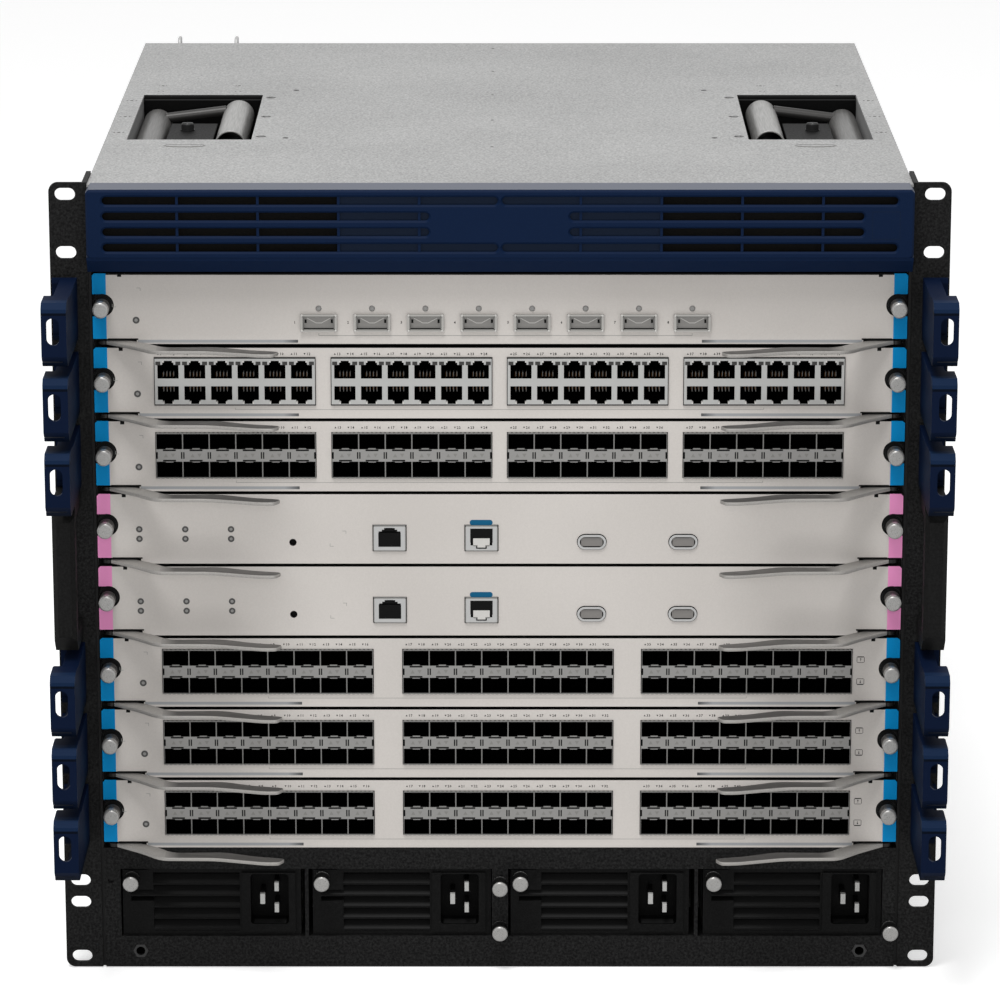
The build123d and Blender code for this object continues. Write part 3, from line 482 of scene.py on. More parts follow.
def lever_finish():
    """Brushed lever: the long part's top is painted darker than its edge and its root, painted shade and
    reflection, and the end in the panel's notch is painted black as painted shade.
    """
    steel = steel_finish("lever steel", "#8b8987", "#9f9c99", 0.45, 0.3, "brushed_steel", (0.08, 1, 1))
    side = abs(steel.x)
    # Painted shade and reflection on the long part's top.
    painted_top_shade = card_height(steel).within(37.0, 37.27) & (side < 184.0)
    fade = steel.range(side, 176.0, 186.0, 1.0, 0.0) * painted_top_shade
    grain = steel.range(steel.noise(1.5, 2.0), 0.3, 0.7)
    skin = steel.mix(fade, steel.mix(grain, "#928f8b", "#a19e9a"), "#555351")
    # Painted shade: the end beyond 211.8 mm, in the notch, is black.
    steel.set("Base Color", steel.mix(side > 211.8, skin, "#070707"))
    return steel


def nut_finish():
    """The frame's screws are bright, and the two nuts in its lip are coated black."""
    steel = steel_finish("frame screw steel", "#989795", "#bdbcb9", 0.3, 0.5, "bright_steel")
    nuts = steel.z < 15.0
    steel.set("Base Color", steel.mix(nuts, "#a5a4a2", "#1c1c1c"))
    steel.set("Metallic", 0.5 - nuts * 0.5)
    return steel


LEVER = lever_finish()
guide_finish().put_on("cable_guides")
nut_finish().put_on("frame_screws")
print("guides, levers and frame screws have their finish")

# %% [markdown]
# ## The lifting handles' steel
# A handle is a grey barrel on the hinge, two dark arms and a brighter tube to hold. Drawn steel tube has
# faint bands along it: a noise whose space is squeezed along Y gives them.

# %% Handle steel
GRIP = (153.0, 432.3)  # axis of the tube to hold, across and up
ARMS = (-52.9, 28.1)


def tube_finish():
    """Lift handle: a grey barrel, dark arms, and a brighter grip with bands along it, its bore painted near
    black as painted shade.
    """
    tube = Finish("handle steel", "#6e6d6c", 0.38, 0.4, "dark_steel", 0.3)
    side = abs(tube.x)
    lay = tube.node("ShaderNodeVectorMath", {"operation": "MULTIPLY"}, {0: tube.place, 1: (1, 0.04, 1)})
    bands = tube.node("ShaderNodeTexNoise", {}, {"Vector": lay, "Scale": 1.6, "Detail": 3.0})
    tone = tube.range(bands, 0.3, 0.7)
    skin = tube.mix(side < 163.0, tube.mix(tone, "#5a5958", "#72716f"), tube.mix(tone, "#878785", "#a6a5a3"))
    arm = side.within(159.6, 194.6) & ((abs(tube.y - ARMS[1]) < 3.1) | (abs(tube.y - ARMS[0]) < 3.1))
    skin = tube.mix(arm | side.within(163.0, 191.0), skin, "#3d3c3b")
    # Painted shade inside the grip's bore.
    bore = distance(side - GRIP[0], tube.z - GRIP[1]) < 8.3
    tube.set("Base Color", tube.mix(bore, skin, "#050505"))
    tube.set("Metallic", 0.4 - bore * 0.4)
    tube.bump(bands, 0.02)
    return tube


TUBE = tube_finish()
for word in ("left", "right"):
    TUBE.put_on(word + "_lift_handle")
print("handle steel:", TUBE.name)

# %% [markdown]
# ## Power supplies and fabric modules
# A power supply is one CAD node too: black louvred front, black inlet with pins, bright captive screw, and
# a plain zinc body behind. Its masks are made once for each of the four places and joined. The two
# fabric modules at the back are bare zinc sheet.

# %% Power supply and fabric module finishes
SUPPLY_LEFT = (-209.5, -104.0, 5.9, 112.8)
SUPPLY_SCREW = (5.4, 52.0)  # its axis, from a supply's left end and from the bottom


def any_of(masks):
    """1 where at least one of the masks is 1."""
    joined = masks[0]
    for mask in masks[1:]:
        joined = joined | mask
    return joined


def supply_finish():
    supply = Finish("supply coat", "#060606", 0.5, 0.0, "black_powder_coat", 0.08)
    screws, pins, mouths = [], [], []
    for left in SUPPLY_LEFT:
        axis = distance(supply.x - (left + SUPPLY_SCREW[0]), supply.z - SUPPLY_SCREW[1])
        screws.append((axis < 4.4) & (supply.y < FACE - 0.1))
        hole = supply.x.within(left + 71.05, left + 92.15) & supply.z.within(24.95, 54.15)
        mouths.append(hole & supply.y.within(CASE_FRONT - 1.45, CASE_FRONT + 14.0))
        for x, z in ((77.6, 40.4), (85.4, 46.9), (85.4, 33.9)):
            pin = supply.x.within(left + x - 1.25, left + x + 1.25) & supply.z.within(z - 3.05, z + 3.05)
            pins.append(pin & supply.y.within(CASE_FRONT + 1.0, CASE_FRONT + 12.4))
    screw = any_of(screws)
    grain = supply.noise(1.3, 2.0, 0.6)
    skin = supply.mix(supply.range(grain, 0.36, 0.68), "#040404", "#101010")
    # Painted light on the slats' tops; painted shade on the wall behind them, in the inlet's mouth and on the
    # pins in it.
    layers = ((supply.y.within(CASE_FRONT + 0.1, CASE_FRONT + 7.2), "#1b1b1b"),
              (supply.y.within(CASE_FRONT + 7.2, CASE_FRONT + 9.0), "#020202"),
              (supply.y > CASE_FRONT + 14.5, "#b4b4b2"),
              (any_of(mouths), "#020202"), (any_of(pins), "#0b0b0b"), (screw, "#a5a4a2"))
    for mask, tone in layers:
        skin = supply.mix(mask, skin, tone)
    supply.set("Base Color", skin)
    supply.set("Metallic", screw * 0.5)
    supply.bump(grain, 0.04)
    return supply


def module_finish():
    module = Finish("module", "#b4b4b3", 0.45, 0.2, "zinc_sheet")
    grain = module.noise(1.6, 3.0, 0.7)
    module.set("Base Color", module.mix(module.range(grain, 0.32, 0.68), "#a2a2a2", "#c6c6c5"))
    module.bump(grain, 0.02)
    return module


SUPPLY = supply_finish()
for index in range(len(SUPPLY_LEFT)):
    SUPPLY.put_on("power_supply_%d" % (index + 1))
MODULE = module_finish()
for index in (1, 2):
    MODULE.put_on("fabric_module_%d" % index)
print("supplies and modules have their finish")

# %% [markdown]
# ## Small parts and prints
# Prints, lamps, contacts and chips are a few pixels wide in the picture. They need a tone and a slight
# unevenness and no more, so one function makes them all, and each gets a name for what it is.

# %% Plain print and part colours
def plain(name, base, roughness=0.5, metallic=0.0, slot="black_plastic", grain=0.06):
    """A quiet finish with a slight unevenness, for small parts and prints."""
    made = Finish(name, base, roughness, metallic, slot, 0.1)
    lighter = tuple(min(1.0, c * (1 + grain) + 0.002) for c in made.base[:3]) + (1.0,)
    made.set("Base Color", made.mix(made.noise(1.7, 2.0), made.base, lighter))
    return made


INK = plain("dark print", "#201f1e", 0.6, 0.0, "card_panel_paint")
PALE_INK = plain("grey print", "#8f8e8b", 0.6, 0.0, "card_panel_paint")
BLUE_INK = plain("blue print", "#0c5578", 0.5, 0.0, "card_panel_paint")
GROOVE = plain("groove grey", "#96989a", 0.5, 0.2, "card_panel_paint")
GROOVE.set("Base Color", GROOVE.mix(GROOVE.range(abs(GROOVE.x), 108.7, 117.0), "#4c4d4e", "#999b9d"))
BLACK = plain("black part", "#060606", 0.7)
RUBBER = plain("soft black", "#1b1b1b", 0.35)
CHIP = plain("chip", "#171718", 0.4)
SHADOW_GREY = plain("grey part", "#7f7e7b", 0.5, 0.2, "bright_steel")
LAMP = plain("lamp lens", "#8d8c8a", 0.3, 0.0, "bright_steel")
GOLD = plain("gold contact", "#5a3a17", 0.5, 0.2, "bright_steel")
SILVER = plain("silver contact", "#6d6c6a", 0.5, 0.2, "bright_steel")
LATCH = plain("pale latch", "#c4c2be", 0.45, 0.1, "bright_steel")
SINK = plain("heat sink", "#8d8f92", 0.4, 0.6, "bright_steel")
TAB = plain("spring tab", "#82817f", 0.5, 0.1, "bright_steel")
PIN = plain("inlet pin", "#adadab", 0.5, 0.1, "bright_steel")
print("small finishes are ready")

# %% [markdown]
# ## Making pieces
# Each new piece starts as an empty bmesh in millimetres. Small helpers put boxes, turned parts and flat
# plates into it with Blender's own operators. `make_piece` merges what coincides, turns the faces
# outwards, scales to metres and says which body the piece rides on.

# %% Helpers for shapes
AXIS = {"X": Matrix.Rotation(math.radians(90), 4, "Y"), "Y": Matrix.Rotation(math.radians(90), 4, "X"),
        "Z": Matrix.Identity(4)}


def box(bm, x, y, z):
    """A box between the pairs of ends x, y and z."""
    ends = (x, y, z)
    middle = Vector([(low + high) / 2 for low, high in ends])
    size = Vector([abs(high - low) for low, high in ends])
    return bmesh.ops.create_cube(bm, size=1, matrix=Matrix.LocRotScale(middle, None, size))["verts"]


def rod(bm, place, radius, length, axis="Y", sides=16, tip=None):
    """A round rod or cone with its middle at place."""
    where = Matrix.Translation(place) @ AXIS[axis]
    small = radius if tip is None else tip
    made = bmesh.ops.create_cone(bm, cap_ends=True, segments=sides, radius1=radius, radius2=small,
                                 depth=length, matrix=where)
    return made["verts"]


def turned(bm, profile, x, z, sides=24, closed=False):
    """A shape turned about an axis along Y, from its profile of (radius, y) points."""
    verts = [bm.verts.new((x + radius, y, z)) for radius, y in profile]
    pairs = list(zip(verts[:-1], verts[1:]))
    if closed:
        pairs.append((verts[-1], verts[0]))
    edges = [bm.edges.new(pair) for pair in pairs]
    bmesh.ops.spin(bm, geom=verts + edges, cent=(x, 0, z), axis=(0, 1, 0), angle=math.tau, steps=sides,
                   use_merge=True)


def flat_plate(bm, points, depth, corner=0.0, edge=0.0, segments=3):
    """A plate from its corners, which all lie in one plane: rounded, thickened along depth, edges broken."""
    work = bmesh.new()
    verts = [work.verts.new(point) for point in points]
    work.faces.new(verts)
    if corner:
        bmesh.ops.bevel(work, geom=verts, offset=corner, segments=segments, affect="VERTICES", profile=0.5,
                        material=-1)
    made = bmesh.ops.extrude_face_region(work, geom=work.faces[:])
    moved = [item for item in made["geom"] if isinstance(item, bmesh.types.BMVert)]
    bmesh.ops.translate(work, verts=moved, vec=depth)
    bmesh.ops.recalc_face_normals(work, faces=work.faces)
    if edge:
        way = Vector(depth).normalized()
        rims = [e for e in work.edges if abs((e.verts[0].co - e.verts[1].co).normalized().dot(way)) < 0.5]
        bmesh.ops.bevel(work, geom=rims, offset=edge, segments=2, affect="EDGES", profile=0.5, material=-1,
                        clamp_overlap=True)
    add(bm, work)


def add(bm, work, move=None):
    """Pour one bmesh into another, moved by a matrix."""
    mesh = bpy.data.meshes.new("work")
    if move is not None:
        bmesh.ops.transform(work, matrix=move, verts=work.verts)
    work.to_mesh(mesh)
    work.free()
    bm.from_mesh(mesh)
    bpy.data.meshes.remove(mesh)


def stamp(bm, mesh, move):
    """Put a copy of a mesh into a bmesh, moved by a matrix."""
    before = len(bm.verts)
    bm.from_mesh(mesh)
    bm.verts.ensure_lookup_table()
    bmesh.ops.transform(bm, matrix=move, verts=bm.verts[before:])


def make_piece(name, bm, look, body, smooth=None, merge=0.0005):
    """Turn a bmesh in millimetres into a finished piece on a body."""
    if merge:
        bmesh.ops.remove_doubles(bm, verts=bm.verts, dist=merge)
    bmesh.ops.recalc_face_normals(bm, faces=bm.faces)
    bmesh.ops.scale(bm, vec=(MM, MM, MM), verts=bm.verts)
    mesh = bpy.data.meshes.new(name)
    bm.to_mesh(mesh)
    bm.free()
    mesh.materials.append(look.material)
    if smooth is not None:
        mesh.shade_smooth()
        mesh.set_sharp_from_angle(angle=math.radians(smooth))
    piece = bpy.data.objects.new(name, mesh)
    bpy.context.scene.collection.objects.link(piece)
    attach(piece, body)
    return piece


print("helpers are ready")

# %% [markdown]
# ## The air intake
# The bezel is a moulding with four rows of rounded slots, each with a bevelled lower rim that catches
# the light. A flat curve with holes in it gives that in one go: Blender fills between the outlines, and
# the curve's own extrude and bevel give the thickness and the rims.

# %% Air intake bezel
def rounded(x, z, radius, steps=5):
    """Corner points of a rectangle with round corners, in order."""
    points = []
    corners = ((x[1] - radius, z[1] - radius, 0), (x[0] + radius, z[1] - radius, 90),
               (x[0] + radius, z[0] + radius, 180), (x[1] - radius, z[0] + radius, 270))
    for cx, cz, start in corners:
        for step in range(steps + 1):
            turn = math.radians(start + 90 * step / steps)
            points.append((cx + radius * math.cos(turn), cz + radius * math.sin(turn)))
    return points


def pierced_plate(outlines, thickness, rim, steps=2):
    """A mesh of a plate with holes, drawn as a filled flat curve. It lies in the XY plane."""
    curve = bpy.data.curves.new("plate", "CURVE")
    curve.dimensions = "2D"
    curve.fill_mode = "BOTH"
    curve.extrude = thickness / 2 - rim
    curve.bevel_depth = rim
    curve.bevel_resolution = steps
    curve.offset = -rim
    for outline in outlines:
        line = curve.splines.new("POLY")
        line.points.add(len(outline) - 1)
        for point, (x, y) in zip(line.points, outline):
            point.co = (x, y, 0, 1)
        line.use_cyclic_u = True
    holder = bpy.data.objects.new("plate", curve)
    mesh = bpy.data.meshes.new_from_object(holder)
    bpy.data.objects.remove(holder)
    bpy.data.curves.remove(curve)
    return mesh


BEZEL_FRONT = FACE - 14.0
BEZEL_TOP = ROOF
BEZEL_LIP_TOP = 405.5
BEZEL_BOTTOM = 397.5
BEZEL_HALF = 220.5
SLOT_ROWS = [437.4 - 8.5 * row for row in range(4)]
SLOT_END = 211.8
WEB_PITCH = 43.0
STAND = Matrix.Rotation(math.radians(90), 4, "X")


def slot_ends(row):
    """Pairs of ends along X of the long openings in one row, the webs left out."""
    if row in (1, 2):
        return [(-SLOT_END, -37.8), (37.2, 193.9)]
    return [(-SLOT_END, -1.2), (1.2, SLOT_END)]


def slot_outline(low, high, z):
    """One intake slot with round ends."""
    half = 2.15
    return rounded((low, high), (z - half - 0.25, z + half - 0.25), half - 0.02, 4)


def make_bezel():
    outlines = [rounded((-BEZEL_HALF, BEZEL_HALF), (BEZEL_LIP_TOP, BEZEL_TOP), 2.6)]
    for row, z in enumerate(SLOT_ROWS):
        outlines += [slot_outline(low, high, z) for low, high in slot_ends(row)]
    mesh = pierced_plate(outlines, 2.6, 1.05, 0)
    bm = bmesh.new()
    stamp(bm, mesh, Matrix.Translation((0, BEZEL_FRONT + 1.3, 0)) @ STAND)
    bpy.data.meshes.remove(mesh)
    return bm


bezel = make_piece("air_intake", make_bezel(), BEZEL, "chassis", smooth=30)
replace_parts(bezel, "intake_bezel")
print("air intake:", len(bezel.data.polygons), "faces")

# %% [markdown]
# ## Behind and round the slots
# The moulding goes on behind its front: a top and two ends, a slanted lip below, upright webs that part
# the long slots, and a blind wall behind the middle ones. Walls are plain boxes. The lip has the same
# side view all along, so that view is drawn once and extruded from one end to the other.

# %% The bezel's hood and lip
def make_hood():
    bm = bmesh.new()
    wall = 2.4
    back = CASE_FRONT
    front = BEZEL_FRONT + 1.2
    box(bm, (-BEZEL_HALF + 1.2, BEZEL_HALF - 1.2), (front, back), (BEZEL_TOP - wall, BEZEL_TOP + 0.01))
    box(bm, (-BEZEL_HALF + 1.2, BEZEL_HALF - 1.2), (front, back + 3.4), (BEZEL_TOP, BEZEL_TOP + 0.25))
    for side in (-1, 1):
        x = (side * BEZEL_HALF, side * (BEZEL_HALF - wall))
        box(bm, x, (front, back), (BEZEL_LIP_TOP - 0.6, BEZEL_TOP - 1.4))
    return bm


def make_lip():
    """Slanted lower lip: its side view, drawn at one end and extruded to the other."""
    bm = bmesh.new()
    z, y = BEZEL_LIP_TOP, BEZEL_FRONT
    side_view = [(y + 0.25, z + 0.9), (y + 0.5, z - 0.9), (y + 6, BEZEL_BOTTOM), (CASE_FRONT, BEZEL_BOTTOM),
                 (CASE_FRONT, BEZEL_BOTTOM + 2.4), (y + 8, BEZEL_BOTTOM + 2.4), (y + 2.7, z + 0.9)]
    points = [(-BEZEL_HALF, py, pz) for py, pz in side_view]
    flat_plate(bm, points, (2 * BEZEL_HALF, 0, 0))
    return bm


def make_webs():
    """Upright webs behind the plate that part the long slots."""
    bm = bmesh.new()
    for step in range(1, 5):
        for side in (-1, 1):
            middle = side * step * WEB_PITCH
            box(bm, (middle - 0.7, middle + 0.7), (BEZEL_FRONT + 0.8, BEZEL_FRONT + 2.4), (408.5, 440.5))
    return bm


def make_backing():
    """The blind middle of the slots."""
    bm = bmesh.new()
    box(bm, (-86.0, 86.0), (BEZEL_FRONT + 2.2, BEZEL_FRONT + 3.6), (407.5, 440.4))
    return bm


def make_square():
    """A thin square line pressed in the blind patch at the right."""
    bm = bmesh.new()
    x, z, line = (198.3, 213.0), (416.4, 431.5), 0.25
    y = (BEZEL_FRONT - 0.02, BEZEL_FRONT + 0.2)
    box(bm, x, y, (z[1] - line, z[1]))
    box(bm, x, y, (z[0], z[0] + line))
    for end in x:
        box(bm, (end - line / 2, end + line / 2), y, z)
    return bm


BLIND = plastic_finish("blind blue", "#0b1729", 0.5)
for name, bm, look in (("hood", make_hood(), HOOD), ("lip", make_lip(), BEZEL), ("webs", make_webs(), BEZEL),
                       ("blind", make_backing(), BLIND), ("square", make_square(), BLIND)):
    make_piece("intake_" + name, bm, look, "chassis")
print("hood, lip and backing are in place")

# %% [markdown]
# ## Ejector levers
# Each lever is a steel strip that bows forward from its pivot and runs along the card. Seen from above
# its outline is an S with rounded corners, so it starts as a handful of points, gets its corners
# rounded, is given 2 mm and has its edges broken. In the picture it takes the place of the CAD blade,
# whose corners are sharp.

# %% Levers
LEVER_DROP = 38.2
LEVER_FRONT = ((211.5, 0.3), (198.0, 11.2), (186.0, 23.4), (156.0, 23.8), (127.5, 31.6), (121.0, 31.0),
               (117.9, 25.6))
LEVER_BACK = ((120.5, 24.3), (134.0, 21.4), (151.5, 14.2), (180.0, 15.1), (190.5, 4.4), (196.1, 0.8),
              (205.5, -4.6), (213.5, -7.0), (216.9, -3.6))
LEVER_EYE = (213.5, FACE + 3.6)
LEVER_THICK = 2.0


def lever_blade():
    """The blade in plan, its corners rounded: gently where it bends, tightly at its tip."""
    bm = bmesh.new()
    verts = [bm.verts.new((x, FACE - out, -LEVER_THICK / 2)) for x, out in LEVER_FRONT + LEVER_BACK]
    bm.faces.new(verts)
    bends = [v for v in verts if 122.0 < v.co.x < 200.0 and v.co.y < FACE - 4.0]
    bmesh.ops.bevel(bm, geom=bends, offset=4.5, segments=4, affect="VERTICES", profile=0.5, material=-1)
    tip = [v for v in bm.verts if v.co.x < 121.5]
    bmesh.ops.bevel(bm, geom=tip, offset=1.3, segments=3, affect="VERTICES", profile=0.5, material=-1)
    return bm


def lever_mesh(side):
    """The whole lever for the right end, with its eye on the pin, or its mirror image for the left."""
    work = lever_blade()
    made = bmesh.ops.extrude_face_region(work, geom=work.faces[:])
    moved = [item for item in made["geom"] if isinstance(item, bmesh.types.BMVert)]
    bmesh.ops.translate(work, verts=moved, vec=(0, 0, LEVER_THICK))
    bmesh.ops.recalc_face_normals(work, faces=work.faces)
    rims = [e for e in work.edges if abs(e.verts[0].co.z - e.verts[1].co.z) < 0.01]
    bmesh.ops.bevel(work, geom=rims, offset=0.3, segments=2, affect="EDGES", profile=0.5, material=-1)
    bm = bmesh.new()
    add(bm, work)
    rod(bm, (*LEVER_EYE, 0), 3.4, LEVER_THICK, "Z", 20)
    if side < 0:
        bmesh.ops.scale(bm, vec=(-1, 1, 1), verts=bm.verts)
        bmesh.ops.reverse_faces(bm, faces=bm.faces)
    return bm


for card in CARDS:
    for side, word in ((-1, "left"), (1, "right")):
        bm = lever_mesh(side)
        bmesh.ops.translate(bm, verts=bm.verts, vec=(0, 0, card_top(card) - LEVER_DROP))
        node = "card_%d_%s_lever" % (card, word)
        blade = make_piece("card_%d_%s_ejector" % (card, word), bm, LEVER, node, smooth=40)
        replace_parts(blade, node)
print("levers:", 2 * len(CARDS))

# %% [markdown]
# ## What every card front carries
# Round each screw is a black bush with a raised ring. Low on the panel are the dark slot that the lever
# comes out of and the long groove that the lever folds into. A small status lamp sits on the left.

# %% Card trims
WIDE_PORTS = [-97.5 + 28.7 * port for port in range(8)]  # middles of card 1's cages


def card_piece(card, part, bm, look, **more):
    """A piece that rides on a card and is named for it."""
    return make_piece("card_%d_%s" % (card, part), bm, look, "card_%d" % card, **more)


def ring(bm, x, z, inner, outer, proud):
    """A flat washer standing proud of the panel."""
    profile = [(inner, 0.3), (inner, -proud), (outer, -proud), (outer, 0.3)]
    turned(bm, [(radius, FACE + y) for radius, y in profile], x, z, 16, closed=True)


def lens(bm, x, z, radius, proud):
    """A shallow dome in the panel."""
    profile = [(radius, 0.2), (radius, -proud * 0.3), (radius * 0.6, -proud), (0, -proud * 1.1)]
    turned(bm, [(across, FACE + y) for across, y in profile], x, z, 12)


def lamp_places(card):
    """Middle and outer radius of each status lamp on a card."""
    top = card_top(card)
    if card in SUPERVISORS:
        return [(x, top - drop, 1.7) for x in (-196.2, -171.2, -146.3) for drop in (19.9, 25.3)]
    places = [(-195.7, top - 25.7, 1.8)]
    if card == 1:
        places += [(x, top - 19.3, 1.5) for x in WIDE_PORTS]
    return places


def card_trims(card):
    top = card_top(card)
    rings, lenses, dark, groove = [bmesh.new() for _ in range(4)]
    for x, z, radius in lamp_places(card):
        if radius > 1.5:
            ring(rings, x, z, radius * 0.5, radius * 1.06, 0.12)
            lens(lenses, x, z, radius * 0.55, 0.1)
        else:
            ring(rings, x, z, radius, radius + 0.12, 0.06)
            lens(lenses, x, z, radius, 0.8)
    for side in (-1, 1):
        box(dark, (side * 194.7, side * 211.0), (FACE - 0.04, FACE + 0.5), (top - 36.6, top - 35.75))
        box(dark, (side * 203.2, side * 205.4), (FACE - 0.04, FACE + 0.5), (top - 1.9, top + 0.02))
        if card not in SUPERVISORS:
            box(groove, (side * 108.7, side * 195.0), (FACE - 0.03, FACE + 0.3), (top - 38.15, top - 36.55))
    card_piece(card, "lamp_rims", rings, CHROME, smooth=40)
    card_piece(card, "lamps", lenses, LAMP, smooth=60)
    card_piece(card, "slots", dark, BLACK)
    if card not in SUPERVISORS:
        card_piece(card, "grooves", groove, GROOVE)


def card_bushes(card):
    """A black bush round each screw: its rim, and a black disc behind it as painted shade in the notch, cut
    off where the panel ends.
    """
    bush = bmesh.new()
    for side in (-1, 1):
        place = (side * SCREW_X, card_top(card) - SCREW_DROP)
        rim = [(4.9, 1.9), (4.9, 0.8), (5.2, 0.8), (5.2, 1.9)]
        turned(bush, [(radius, FACE + y) for radius, y in rim], *place, 24, closed=True)
        # Painted shade: a black disc behind the notch.
        turned(bush, [(6.0, FACE + 1.9), (5.6, FACE + 1.9), (0, FACE + 1.95)], *place, 24)
    outer = [v for v in bush.verts if abs(v.co.x) > 218.9]
    bmesh.ops.delete(bush, geom=outer, context="VERTS")
    card_piece(card, "bushes", bush, RUBBER, smooth=40)


for card in CARDS:
    card_trims(card)
    card_bushes(card)
print("card trims are in place")

# %% [markdown]
# ## Captive screws
# Each card, each power supply and the frame are held by screws with a long turned head that fingers can
# grip. On the real screw a lathe cuts the head. Here too: its profile is drawn from the neck to the middle
# of the face and spun round its axis. Fine lines in the finish stand for the tool's marks.

# %% Thumbscrew heads
HEAD = 4.33
HEAD_LONG = 11.03
HEAD_PROFILE = ((2.4, HEAD_LONG), (HEAD, HEAD_LONG), (HEAD, 10.2), (HEAD - 0.12, 10.0), (HEAD - 0.12, 9.6),
                (HEAD, 9.4), (HEAD, 0.75), (HEAD - 0.25, 0.3), (HEAD - 0.7, 0.02), (HEAD - 0.95, -0.02),
                (HEAD - 1.1, -0.02), (0, -0.02))
CARD_TIP = FACE - 14.0
FRAME_TIP = FACE - 11.3


def screw_head(bm, x, z, tip):
    """A head over a CAD screw that ends at tip: a groove near the neck, a bevelled rim and a flat face."""
    turned(bm, [(radius, tip + y) for radius, y in HEAD_PROFILE], x, z, 32)


def screw_finish():
    """Turned steel with fine lines: a grained face, and the side behind it painted darker as painted shade,
    darkest on the low frame and supply screws.
    """
    steel = Finish("turned steel", "#a09f9d", 0.3, 0.5, "bright_steel", 0.3)
    grain = steel.noise(2.6, 3.0, 0.7)
    lines = ((steel.y * 9.0).wave() + 1) * 0.5
    tone = steel.range(grain * 0.8 + lines * 0.2, 0.25, 0.75)
    face = steel.mix(tone, "#8c8b89", "#b0afad")
    # Painted shade on the side of the head, darkest on the frame and supply screws low down.
    neck = steel.mix(steel.z < 60.0, steel.mix(tone, "#3f3e3d", "#5c5b5a"), "#1b1b1b")
    steel.set("Base Color", steel.mix(steel.y > FACE - 10.3, face, neck))
    steel.set("Roughness", steel.range(grain, 0.3, 0.7, 0.24, 0.4))
    steel.bump(grain, 0.01)
    return steel


def screw_heads(name, places, tip, body):
    """One piece with a head at each of the places."""
    heads = bmesh.new()
    for x, z in places:
        screw_head(heads, x, z, tip)
    make_piece(name, heads, TURNED, body, smooth=35)


def pin_tips(left):
    """The three pins of a supply's inlet, which stand out of the dark."""
    pins = bmesh.new()
    depth = (CASE_FRONT - 1.3, CASE_FRONT + 1.4)
    for x, z, wide, tall in ((77.7, 39.5, 1.3, 2.9), (85.5, 46.6, 1.15, 2.5), (85.5, 34.2, 1.15, 2.5)):
        box(pins, (left + x - wide, left + x + wide), depth, (z - tall, z + tall))
    return pins


TURNED = screw_finish()
for card in CARDS:
    ends = [(side * SCREW_X, card_top(card) - SCREW_DROP) for side in (-1, 1)]
    screw_heads("card_%d_screw_heads" % card, ends, CARD_TIP, "card_%d" % card)
screw_heads("frame_screw_heads", ((0, 49.0), (0, 23.0), (216.3, 23.0)), FRAME_TIP, "chassis")
for index, left in enumerate(SUPPLY_LEFT):
    body = "power_supply_%d" % (index + 1)
    head = (left + SUPPLY_SCREW[0], SUPPLY_SCREW[1])
    screw_heads("supply_%d_screw_head" % (index + 1), [head], FRAME_TIP, body)
    make_piece("supply_%d_pin_tips" % (index + 1), pin_tips(left), PIN, body)
print("screw heads are in place")

# %% [markdown]
# ## Cages
# Cards 3, 6, 7 and 8 have blocks of cages. On the band between the two rows of each column are the
# cage's own parts: a dark slit above and below, a bent grounding tab in each slit, a dark gap at each
# divider, and two faint triangles pressed in the metal. Along the outer edges runs a row of small teeth.

# %% Cage details
PORT_FRONT = FACE - 0.8  # the port blocks stand a little proud of the panels
TOOTH_PITCH = 2.4


def cage_column(dark, tabs, marks, x, middle):
    """On the band between an upper and a lower cage: a slit, a tab and a triangle for each."""
    skin = (PORT_FRONT - 0.03, PORT_FRONT + 0.2)
    for sign in (-1, 1):
        edge = middle + sign * 3.45
        box(dark, (x - 3.5, x + 3.5), skin, (edge - sign * 0.1, edge - sign * 1.0))
        tab = (edge + sign * 0.45, edge - sign * 0.1)
        box(tabs, (x - 2.0, x + 2.0), (PORT_FRONT - 0.1, PORT_FRONT + 0.8), tab)
        corners = ((-1.15, -1.0), (1.15, -1.0), (0.0, 1.0))
        tri = [(x - 1.9 * sign + px, PORT_FRONT - 0.03, middle + sign * pz) for px, pz in corners]
        flat_plate(marks, tri, (0, 0.1, 0))


def cage_divider(dark, tabs, x, band, way):
    """The gap at a wall between columns. At the group's ends, where way is 1 or -1, it is narrower."""
    skin = (PORT_FRONT - 0.03, PORT_FRONT + 0.2)
    half = 0.5 if way else 0.95
    middle = x + 0.4 * way
    box(dark, (middle - half, middle + half), skin, band)
    if not way:
        box(tabs, (x - 0.3, x + 0.3), (PORT_FRONT - 0.06, PORT_FRONT + 0.2), band)


def cage_details(card):
    top = card_top(card)
    dark, tabs, marks, teeth = [bmesh.new() for _ in range(4)]
    for left, count in port_groups(card):
        for column in range(count):
            cage_column(dark, tabs, marks, left + (column + 0.5) * PORT_PITCH, top - ROW_DROP)
        for divider in range(count + 1):
            way = (divider == 0) - (divider == count)
            cage_divider(dark, tabs, left + divider * PORT_PITCH, (top - 17.2, top - 20.9), way)
        number = round(count * PORT_PITCH / TOOTH_PITCH)
        for step in range(number):
            x = left + (step + 0.5) * (count * PORT_PITCH / number)
            for z in (top - 6.55, top - BLOCK_FOOT):
                box(teeth, (x - 0.65, x + 0.65), (PORT_FRONT - 0.12, FACE + 0.1), (z - 0.28, z + 0.28))
    card_piece(card, "cage_gaps", dark, BLACK)
    card_piece(card, "cage_tabs", tabs, TAB)
    card_piece(card, "cage_marks", marks, SHADOW_GREY)
    card_piece(card, "cage_teeth", teeth, SHADOW_GREY)


for card in (3, 6, 7, 8):
    cage_details(card)
print("cage details are in place")

